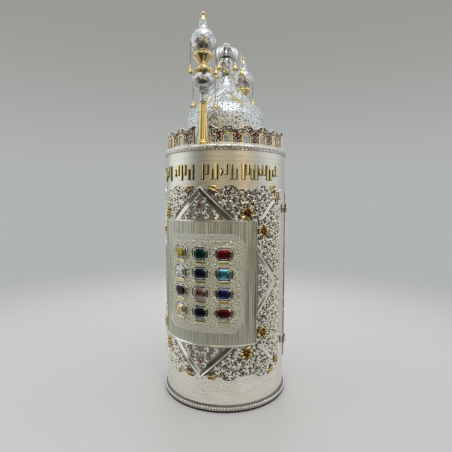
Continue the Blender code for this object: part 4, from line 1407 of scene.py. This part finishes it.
def addGallery(side, hand):
    mirror = 1 if hand == "right" else -1
    radius, half = gallery["radius"], gallery["thickness"] / 2
    face = half * 0.3
    start, pitch = arcAt(gallery["start"], radius), arcAt(gallery["pitch"], radius)
    end = start + gallery["modules"] * pitch
    arches = [start + k * pitch for k in range(1, gallery["modules"])]
    stones = [start + (k + 0.5) * pitch for k in range(gallery["modules"])]
    archHalf, spring, archTop, band, stoneUp, lozengeUp = (
        gallery[key] for key in ("archHalf", "archSpring", "archTop", "band", "stoneUp", "lozengeUp"))

    def turned(points):
        return layOnCase(points, side, radius)

    def place(across, up):
        return mirror * across, standing + up

    def topAt(across):
        # the scalloped upper edge: an ogee peak over each arch, a dip over each stone
        swing = 0.5 + 0.5 * math.cos(math.tau * (across - start) / pitch)
        return gallery["valley"] + (gallery["peak"] - gallery["valley"]) * swing ** 0.9

    top = [(x, topAt(x)) for x in (start + (end - start) * share for share in shares(110))]
    outline = [place(x, up) for x, up in [(start, 0.0)] + top + [(end, 0.0)]]
    holes = [[place(x, up) for x, up in pointedArch(middle, archHalf, gallery["archLow"], spring, archTop)]
             for middle in arches]
    plate, relief, gilt, red = (Piece(side, turned) for k in range(4))
    plate.addMesh(flatPlate([outline] + holes, -half, face, 0.004))
    for index, corners in enumerate(plate.faces):
        if all(plate.points[corner][2] < half * 0.29 for corner in corners):
            plate.zones[index] = 1

    relief.addStrip([place(x, up - 0.0006) for x, up in top], roundSection(0.0012, 0.0015), lift=face)
    upright, sill = roundSection(0.0015, 0.0018), roundSection(0.0013, 0.0014)
    for x in (start + 0.0024, end - 0.0016):
        path = subdivide([place(x, 0.0002), place(x, gallery["valley"] - 0.0006)], 0.004)
        relief.addStrip(path, upright, lift=face)
    relief.addStrip(subdivide([place(start, 0.0013), place(end, 0.0013)], 0.004), sill, lift=face)

    def clear(point):
        x, up = point
        if not start + 0.0052 < x < end - 0.0040 or up > topAt(x) - 0.0030:
            return False
        reach = archHalf + band + 0.0012
        for middle in arches:
            if abs(x - middle) < reach and up < spring:
                return False
            if math.hypot(x - middle, (up - spring) * 0.92) < reach:
                return False
        return (allAway(point, [(middle, stoneUp) for middle in stones], 0.0040)
                and allAway(point, [(middle, lozengeUp) for middle in stones], 0.0034))
    draw = random.Random(gallery["seed"])
    speck = archSection(0.0011, (0.0009, 0.0008), (0.0005, 0.0011))
    for spot in scatter(gallery["sprigPitch"], (start, 0.002), (end, 0.042), clear, gallery["seed"], 12000):
        turn, bend = draw.uniform(0.0, math.tau), draw.choice((-1, 1)) * math.radians(gallery["sprigBend"])
        path = [polar(spot, gallery["sprig"] * (1.0 - 0.10 * k), turn + bend * k) for k in range(6)]
        relief.addStrip([place(*point) for point in path], speck, [0.6, 0.9, 1.0, 1.0, 0.9, 0.6], lift=face)
    for share in shares(gallery["beads"])[1:-1]:
        x = start + (end - start) * share
        relief.addDome(place(x, topAt(x) - 0.0002), 0.0012, 0.0014, 6, 1, lift=face)
    for middle in arches:
        for lean in (-0.0026, 0.0, 0.0026):
            relief.addStrip([place(middle + lean * 0.3, archTop + 0.0060),
                             place(middle + lean, gallery["peak"] - 0.004),
                             place(middle + lean * 1.3, gallery["peak"] - 0.0012)],
                            roundSection(0.0011, 0.0018, 3), [0.6, 1.0, 0.3], lift=face)
    for middle in stones:
        relief.addCircle(place(middle, stoneUp), 0.0034, 12, roundSection(0.0006, 0.0022, 3), face)
        lozenge = [place(middle + across, lozengeUp + up)
                   for across, up in ((0.0028, 0.0), (0.0, 0.0036), (-0.0028, 0.0), (0.0, -0.0036))]
        relief.addStrip(lozenge, roundSection(0.0006, 0.0016, 3), looped=True, lift=face)
        red.addDome(place(middle, stoneUp), 0.0029, 0.0028, 10, 3, lift=half * 0.4)

    section = [(x * band, face + z * 0.0014)
               for x, z in archSection(0.5, (0.5, 0.5), (0.36, 0.95), (0.12, 0.62), sink=1.0)]
    for middle in arches:
        path = pointedArch(middle, archHalf + band / 2, 0.0024, spring, archTop + 0.0028, 9)
        gilt.addStrip([place(*point) for point in path], section)
        gilt.addDome(place(middle, archTop + 0.0058), 0.0013, 0.0016, 8, 2, lift=half * 0.6)
    gilt.addStrip(subdivide([place(start + 0.0050, 0.0024), place(start + 0.0050, 0.0200)], 0.004),
                  scaled(section, 0.55, 1.0))
    name = "{}_gallery_{}".format(side, hand)
    plate.make(name + "_plate", ["galleryGround", "inside"], "relief_silver")
    relief.make(name + "_relief", "galleryRelief", "relief_silver", name)
    gilt.make(name + "_gilt_arches", "galleryGilt", "gold")
    red.make(name + "_stones", "redStone", "gem_red")


# chased bosses on the two clasps

boss = {"heights": {"lower": 0.137, "upper": 0.460}, "radius": 0.0115, "rise": 0.0022, "petals": 8,
        "petalFoot": 0.0028, "petal": (0.0082, 0.0030), "button": 0.0030}


def onClasp(points):
    return np.column_stack((case["claspFace"] + points[:, 2], points[:, 0], points[:, 1]))


def addClaspBosses():
    for name, height in boss["heights"].items():
        work = Piece("back", onClasp)
        middle = (0.0, height)
        work.addDome(middle, boss["radius"], boss["rise"], 24, 3, sink=0.0002)
        long, wide = boss["petal"]
        for k in range(boss["petals"]):
            angle = math.tau * k / boss["petals"]
            addLeaf(work, polar(middle, boss["petalFoot"], angle), long, angle, wide, 0.0010, 0.05)
        work.addDome(middle, boss["button"], boss["button"], 12, 3, lift=0.0016)
        work.make(name + "_clasp_boss", "boss", "polished_silver")


# bells on chains

bells = {"wire": 0.00045, "linkTall": 0.0018, "linkWide": 0.0012, "pitch": 0.0028,
         # skins, as shares of the mouth's radius and of the height
         "outer": [(0.02, 1.0), (0.20, 0.985), (0.30, 0.93), (0.36, 0.80), (0.40, 0.62), (0.46, 0.44),
                   (0.58, 0.27), (0.78, 0.12), (0.97, 0.03), (1.0, 0.0)],
         "inner": [(0.92, -0.01), (0.72, 0.11), (0.52, 0.26), (0.38, 0.46), (0.30, 0.70), (0.20, 0.86),
                   (0.02, 0.90)]}


def addBell(work, centre, top, mouth, radius):
    # open below: outer skin, rolled lip, inner skin, clapper ball and hanging loop
    addTurned(work, [(radius * wide, mouth + (top - mouth) * up)
                     for wide, up in smoothed(bells["outer"], 3) + bells["inner"]], centre, 20)
    addTurned(work, [(0.0002, mouth - 0.0012), *arcPath((0.0, mouth + 0.0006), radius * 0.20, -70, 70, 5),
                     (0.0002, mouth + 0.0028)], centre, 8)
    addLink(work, (*centre, top + 0.0009), 0.0013, 0.0011, 0.00035, 0.4)


def addChain(work, top, bottom):
    # alternate links from one point down to another
    top, bottom = np.array(top, dtype=float), np.array(bottom, dtype=float)
    length = np.linalg.norm(top - bottom)
    along = (top - bottom) / length
    count = max(1, int(length / bells["pitch"]))
    for k in range(count):
        addLink(work, bottom + along * length * (k + 0.5) / count, bells["linkTall"], bells["linkWide"],
                bells["wire"], 0.3 + math.pi / 2 * (k % 2), along)


# finials: gilt post, chased bulb, gilt cup, second bulb and tip

finial = {"radius": 0.1365, "chasing": 190.0,
          # first one's angle, how many, reach, hook's height, bell's top and mouth, mouth's radius
          "bells": ((29.4, 4, 0.0275, 0.8200, 0.7700, 0.7546, 0.0079),
                    (-24.6, 3, 0.0280, 0.7360, 0.6895, 0.6777, 0.0088)),
          "knobs": {"post": ((6, 0.0118, 0.6053, 0.6069, 0.0019, (-50, 85, 5), 0.5),),
                    "cup": ((8, 0.0196, 0.7571, 0.7592, 0.0021, (-70, 88, 6)),
                            (8, 0.0092, 0.7715, 0.7728, 0.0013, (-70, 88, 6)))}}
finialProfiles = {
    "post": [(0.0, 0.6003), (0.0130, 0.6003), (0.0136, 0.6010), (0.0136, 0.6047), (0.0130, 0.6055),
             (0.0126, 0.6065), *arcPath((0.0116, 0.6081), 0.0012, -60, 80, 5), (0.0112, 0.6101),
             *subdivide([(0.0112, 0.6112), (0.0078, 0.6890)], 0.0078), (0.0081, 0.6895),
             *arcPath((0.0080, 0.6905), 0.0009, -60, 80, 4), (0.0074, 0.6926), (0.0050, 0.6932),
             (0.0, 0.6932)],
    "lower_bulb": [(0.0, 0.6935), (0.0086, 0.6935), (0.0088, 0.6950), (0.0082, 0.6962), (0.0072, 0.6972),
                   (0.0068, 0.7010), (0.0067, 0.7050), (0.0070, 0.7084), (0.0078, 0.7104), (0.0112, 0.7114),
                   *arcPath((0.0118, 0.7136), 0.0018, -70, 70, 5), (0.0104, 0.7158), (0.0104, 0.7166),
                   *arcPath((0.0120, 0.7190), 0.0021, -70, 50, 5), (0.0118, 0.7216),
                   *arcPath((0.0067, 0.7388), 0.0184, -62, 66, 24)[1:], (0.0136, 0.7569), (0.0, 0.7569)],
    "cup": [(0.0, 0.7572), (0.0205, 0.7572), (0.0213, 0.7578),
            *smoothed([(0.0212, 0.7584), (0.0182, 0.7598), (0.0134, 0.7626), (0.0102, 0.7666),
                       (0.0084, 0.7704), (0.0080, 0.7735)])[:-1],
            *smoothed([(0.0080, 0.7735), (0.0092, 0.7752), (0.0140, 0.7808), (0.0190, 0.7868),
                       (0.0214, 0.7900), (0.0216, 0.7926), (0.0204, 0.7946), (0.0206, 0.7964)]),
            (0.0170, 0.7972), (0.0, 0.7972)],
    "upper_bulb": [(0.0, 0.7976), (0.0160, 0.7976), (0.0176, 0.7986),
                   *smoothed([(0.0196, 0.8008), (0.0238, 0.8064), (0.0262, 0.8132), (0.0268, 0.8210),
                              (0.0261, 0.8292), (0.0234, 0.8370), (0.0184, 0.8428), (0.0126, 0.8468),
                              (0.0102, 0.8510), (0.0094, 0.8565), (0.0088, 0.8620)]),
                   (0.0086, 0.8645), (0.0, 0.8645)],
    "tip": [(0.0, 0.8648), (0.0066, 0.8648), (0.0068, 0.8662), (0.0060, 0.8676), (0.0050, 0.8700),
            (0.0038, 0.8738), (0.0030, 0.8762), *arcPath((0.0004, 0.8808), 0.0043, -52, 84, 9),
            (0.0, 0.8852)]}


def chasing(count, low, high, depth):
    # lobed leaf pattern beaten into a bulb
    def shape(angle, height):
        up = (height - low) / (high - low)
        if not 0.0 < up < 1.0:
            return 0.0
        lobe = count * angle / 2
        petal = abs(math.sin(lobe + math.pi * up * 3)) * abs(math.sin(lobe - math.pi * up * 3))
        return depth * math.sin(math.pi * up) ** 0.5 * (petal - 0.35)
    return shape


def cupPetals(angle, height):
    # eight flutes that draw in towards the waist
    if not 0.7574 <= height <= 0.7735:
        return 0.0
    return 0.0014 * math.sin((0.7735 - height) / 0.0161 * math.pi) * math.cos(8 * angle)


def folded(place):
    # beaten scrolls and leaves: low along the folds of bent noise, 1 between them
    bent = place + 0.4 * Vector([noise.noise(place * 0.5 + Vector(away))
                                 for away in ((0, 0, 0), (7, 3, 1), (2, 9, 5))])
    fold = abs(noise.noise(bent)) + 0.6 * abs(noise.noise(bent * 2.1 + Vector((4, 4, 4))))
    return min(1.0, fold * 1.9)


# darker along the chasing's folds: tarnish and painted shade
def bulbTarnishAndShade(point):
    return folded(Vector(point) * finial["chasing"])


def addFinial(side):
    centre = (0.0, -sides[side] * finial["radius"])
    name = side + "_finial_"
    for part, steps, shape in (("post", 40, None), ("lower_bulb", 96, chasing(8, 0.7240, 0.7550, 0.0008)),
                               ("cup", 64, cupPetals), ("upper_bulb", 96, chasing(8, 0.8010, 0.8400, 0.0008)),
                               ("tip", 20, None)):
        work = Piece(side, asDrawn)
        addTurned(work, finialProfiles[part], centre, steps, shape)
        for knobs in finial["knobs"].get(part, ()):
            addKnobs(work, centre, *knobs)
        if part.endswith("bulb"):
            work.make(name + part + "_chased", "chased", "polished_silver", name + part, raised=bulbTarnishAndShade)
        else:
            work.make(name + "gilt_" + part, "giltBright", "gold", name + part)
    hooks, ringing = Piece(side, asDrawn), Piece(side, asDrawn)
    for first, count, reach, hook, top, mouth, radius in finial["bells"]:
        for k in range(count):
            angle = first + 360.0 * k / count + (180.0 if side == "back" else 0.0)
            away = spot(angle, 1.0, 0.0)[:2]
            root, end = centre + away * (reach - 0.0040), centre + away * reach
            addTube(hooks, [(*root, hook + 0.0012), (*(root + away * 0.0026), hook + 0.0020),
                            (*end, hook + 0.0004)], 0.0006, 5)
            addChain(hooks, (*end, hook), (*end, top + 0.0016))
            addBell(ringing, end, top, mouth, radius)
    hooks.make(name + "chains", "chain", "polished_silver")
    ringing.make(name + "bells", "giltBright", "gold")


# crown: chased dome with ribs, bulb, canopy of straps and openwork knob

crown = {"turn": 21.4, "steps": 400, "relief": 0.0011, "faces": 6, "archTurn": -3.0,
         "straps": 6, "strapTurn": -25.0, "strapFoot": (0.0160, 0.8270), "strapReach": 0.0416,
         "bell": (0.8120, 0.7960, 0.0088), "bellReach": 0.0388}    # bell's top and mouth, mouth's radius
domeProfile = [(0.0990, 0.6003), (0.0985, 0.6060), (0.0976, 0.6150), (0.0984, 0.6400), (0.0992, 0.6560),
               (0.0990, 0.6680), (0.0966, 0.6820), (0.0906, 0.6950), (0.0816, 0.7066), (0.0652, 0.7182),
               (0.0487, 0.7348), (0.0366, 0.7490), (0.0274, 0.7620), (0.0215, 0.7785)]
domeInner = [(0.0205, 0.7760), (0.0262, 0.7610), (0.0474, 0.7335), (0.0640, 0.7168), (0.0800, 0.7050),
             (0.0890, 0.6940), (0.0948, 0.6815), (0.0968, 0.6680), (0.0960, 0.6400), (0.0955, 0.6150),
             (0.0962, 0.6003)]
bulbProfile = [(0.0215, 0.7785), (0.0198, 0.7810), (0.0178, 0.7830), (0.0176, 0.7870), (0.0190, 0.7920),
               (0.0204, 0.8020), (0.0208, 0.8120), (0.0202, 0.8210), (0.0190, 0.8270), (0.0160, 0.8310),
               (0.0125, 0.8338)]
hubProfile = [(0.0, 0.8343), (0.0150, 0.8343), (0.0176, 0.8350),
              *arcPath((0.0168, 0.8366), 0.0016, -60, 60, 5), (0.0172, 0.8384), (0.0140, 0.8390),
              (0.0140, 0.8402), (0.0160, 0.8406), (0.0160, 0.8418), (0.0120, 0.8432),
              *smoothed([(0.0112, 0.8460), (0.0098, 0.8505), (0.0090, 0.8540), (0.0086, 0.8562)]),
              (0.0, 0.8570)]
knobProfile = [(0.0, 0.8573), (0.0052, 0.8573), (0.0055, 0.8586), (0.0042, 0.8596), (0.0, 0.8600)]
axis = (0.0, 0.0)


def domeFold(angle, height):
    return folded(Vector((math.sin(angle) * 11.5, math.cos(angle) * 11.5, height * 130.0)))


def domeRelief(angle, height):
    fade = min(1.0, max(0.0, (height - 0.6050) / 0.012)) * min(1.0, max(0.0, (0.7760 - height) / 0.02))
    return crown["relief"] * fade * (0.6 if height > 0.7250 else 1.0) * (domeFold(angle, height) - 0.5)


def domeTarnishAndShade(point):
    # darker along the chasing's folds, as tarnish and painted shade; clean where the chasing stops
    if not 0.6050 < point[2] < 0.7740:
        return 1.0
    return domeFold(math.atan2(point[0], -point[1]), point[2])


def onDome(angle, height, out=0.0004):
    # degrees from the direction in which the crown faces
    reaches, heights = zip(*domeProfile)
    return spot(crown["turn"] + angle, np.interp(height, heights, reaches) + out, height)


def addDomeShell():
    work = Piece("front", asDrawn)
    work.addRings(turnedRings(smoothed(domeProfile, 11), axis, crown["steps"], domeRelief)
                  + turnedRings(domeInner, axis, crown["steps"]), capped=False, looped=True)
    work.make("crown_dome_chased", "dome", "relief_silver", "crown_dome", raised=domeTarnishAndShade)


def addCrownRibs():
    # a pointed arch on each face, and a gilt leaf band that carries one of its legs on down
    ribs, gilt = Piece("front", asDrawn), Piece("front", asDrawn)
    for k in range(crown["faces"]):
        face = 360.0 * k / crown["faces"] + crown["archTurn"]
        leg = shares(16)
        thick = [0.0010 + 0.0014 * math.sin(math.pi * min(1.0, 0.15 + 0.8 * share)) for share in leg]
        for turn in (-28.0, 28.0):
            addTube(ribs, [onDome(face + turn * share, 0.7510 - 0.0330 * share) for share in leg], thick)
        band = [(share, face + 18.0 + 14.0 * share, 0.7290 - 0.0320 * share) for share in shares(12)]
        addTube(gilt, [onDome(angle, height, 0.0006) for share, angle, height in band],
                [0.0008 + 0.0014 * math.sin(math.pi * share) for share in shares(12)])
        for share, angle, height in band[1:-1]:
            wide = 5.0 * math.sin(math.pi * share) ** 0.6
            for lean in (-1, 1):
                tip = onDome(angle + lean * wide, height + lean * 0.0034)
                addTube(gilt, [onDome(angle, height, 0.0010), tip], [0.0019, 0.0012], 5)
    ribs.make("crown_dome_ribs", "polished", "polished_silver")
    gilt.make("crown_gilt_bands", "domeGilt", "gold")


def strapAngles():
    return [crown["turn"] + crown["strapTurn"] + 360.0 * k / crown["straps"] for k in range(crown["straps"])]


def addCanopy():
    upper = Piece("front", asDrawn)
    addTurned(upper, [(0.0, 0.7785), *smoothed(bulbProfile), (0.0, 0.8338)], axis, 96,
              chasing(10, 0.7850, 0.8290, 0.0012))
    upper.make("crown_bulb", "chased", "polished_silver", raised=bulbTarnishAndShade)

    hub = Piece("front", asDrawn)
    addTurned(hub, hubProfile, axis, 48)
    addKnobs(hub, axis, 14, 0.0098, 0.8560, 0.8575, 0.0014, (-60, 88, 5))
    section = archSection(1.0, (1.0, 0.0), (0.72, 0.0009), (0.5, 0.0001), (0.2, 0.0007), sink=0.0016)
    foot, level = crown["strapFoot"]
    wide = crown["strapReach"] - foot - 0.0004
    for face in strapAngles():
        aside = spot(face + 90.0, 1.0, 0.0)
        rings = []
        for share in shares(22):
            slope = math.radians(90.0 - 112.0 * share)
            half = 0.0036
            if share < 0.92:
                half += 0.0052 * math.sin(math.pi * min(1.0, share * 1.1)) ** 0.7
            ring = []
            for across, out in section:
                reach = foot + (wide + out) * math.cos(slope) if share else 0.0060
                height = level + (0.0281 + out) * math.sin(slope)
                ring.append(tuple(spot(face, max(reach, 0.0060), height) + aside * across * half))
            rings.append(ring)
        hub.addRings(rings)
    hub.make("crown_canopy_straps", "strap", "polished_silver", "crown_canopy")

    knob = Piece("front", asDrawn)
    for k in range(8):
        for hand in (-1, 1):
            path = []
            for share in shares(11):
                up = math.radians(-62.0 + 136.0 * share)
                path.append(spot(45.0 * k + hand * 22.5 * math.sin(math.tau * share),
                                 0.0078 * math.cos(up) ** 0.8 + 0.0004, 0.8644 + 0.0062 * math.sin(up)))
            addTube(knob, path, 0.0007, 5)
    addTurned(knob, knobProfile, axis, 20)
    addKnobs(knob, axis, 4, 0.0034, 0.8688, 0.8698, 0.0016, (-60, 88, 5), 0.5)
    knob.make("crown_knob_openwork", "bulb", "polished_silver", "crown_knob")

    ringing, hooks = Piece("front", asDrawn), Piece("front", asDrawn)
    top = crown["bell"][0]
    for face in strapAngles():
        hook = spot(face, crown["bellReach"], 0.8180)
        addBell(ringing, hook[:2], *crown["bell"])
        addTube(hooks, [hook, (*hook[:2], top + 0.0014)], 0.0006, 5)
    ringing.make("crown_bells", "giltBright", "gold")
    hooks.make("crown_bell_hooks", "chain", "polished_silver")


for side in sides:
    for add in (addTopRim, addBaseRim, addPad):
        add(side)
    for hand in ("left", "right"):
        addGallery(side, hand)
    addFinial(side)
addClaspBosses()
addDomeShell()
addCrownRibs()
addCanopy()
print("rims, galleries, finials and crown made")


# hinge, clasps: the solids are right as they are and only take a better finish

for name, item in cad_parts.items():
    if name.startswith("hinge") or name.endswith(("hinge_leaf", "clasp")):
        for holder in item.material_slots:
            holder.material = finishes["strap"]
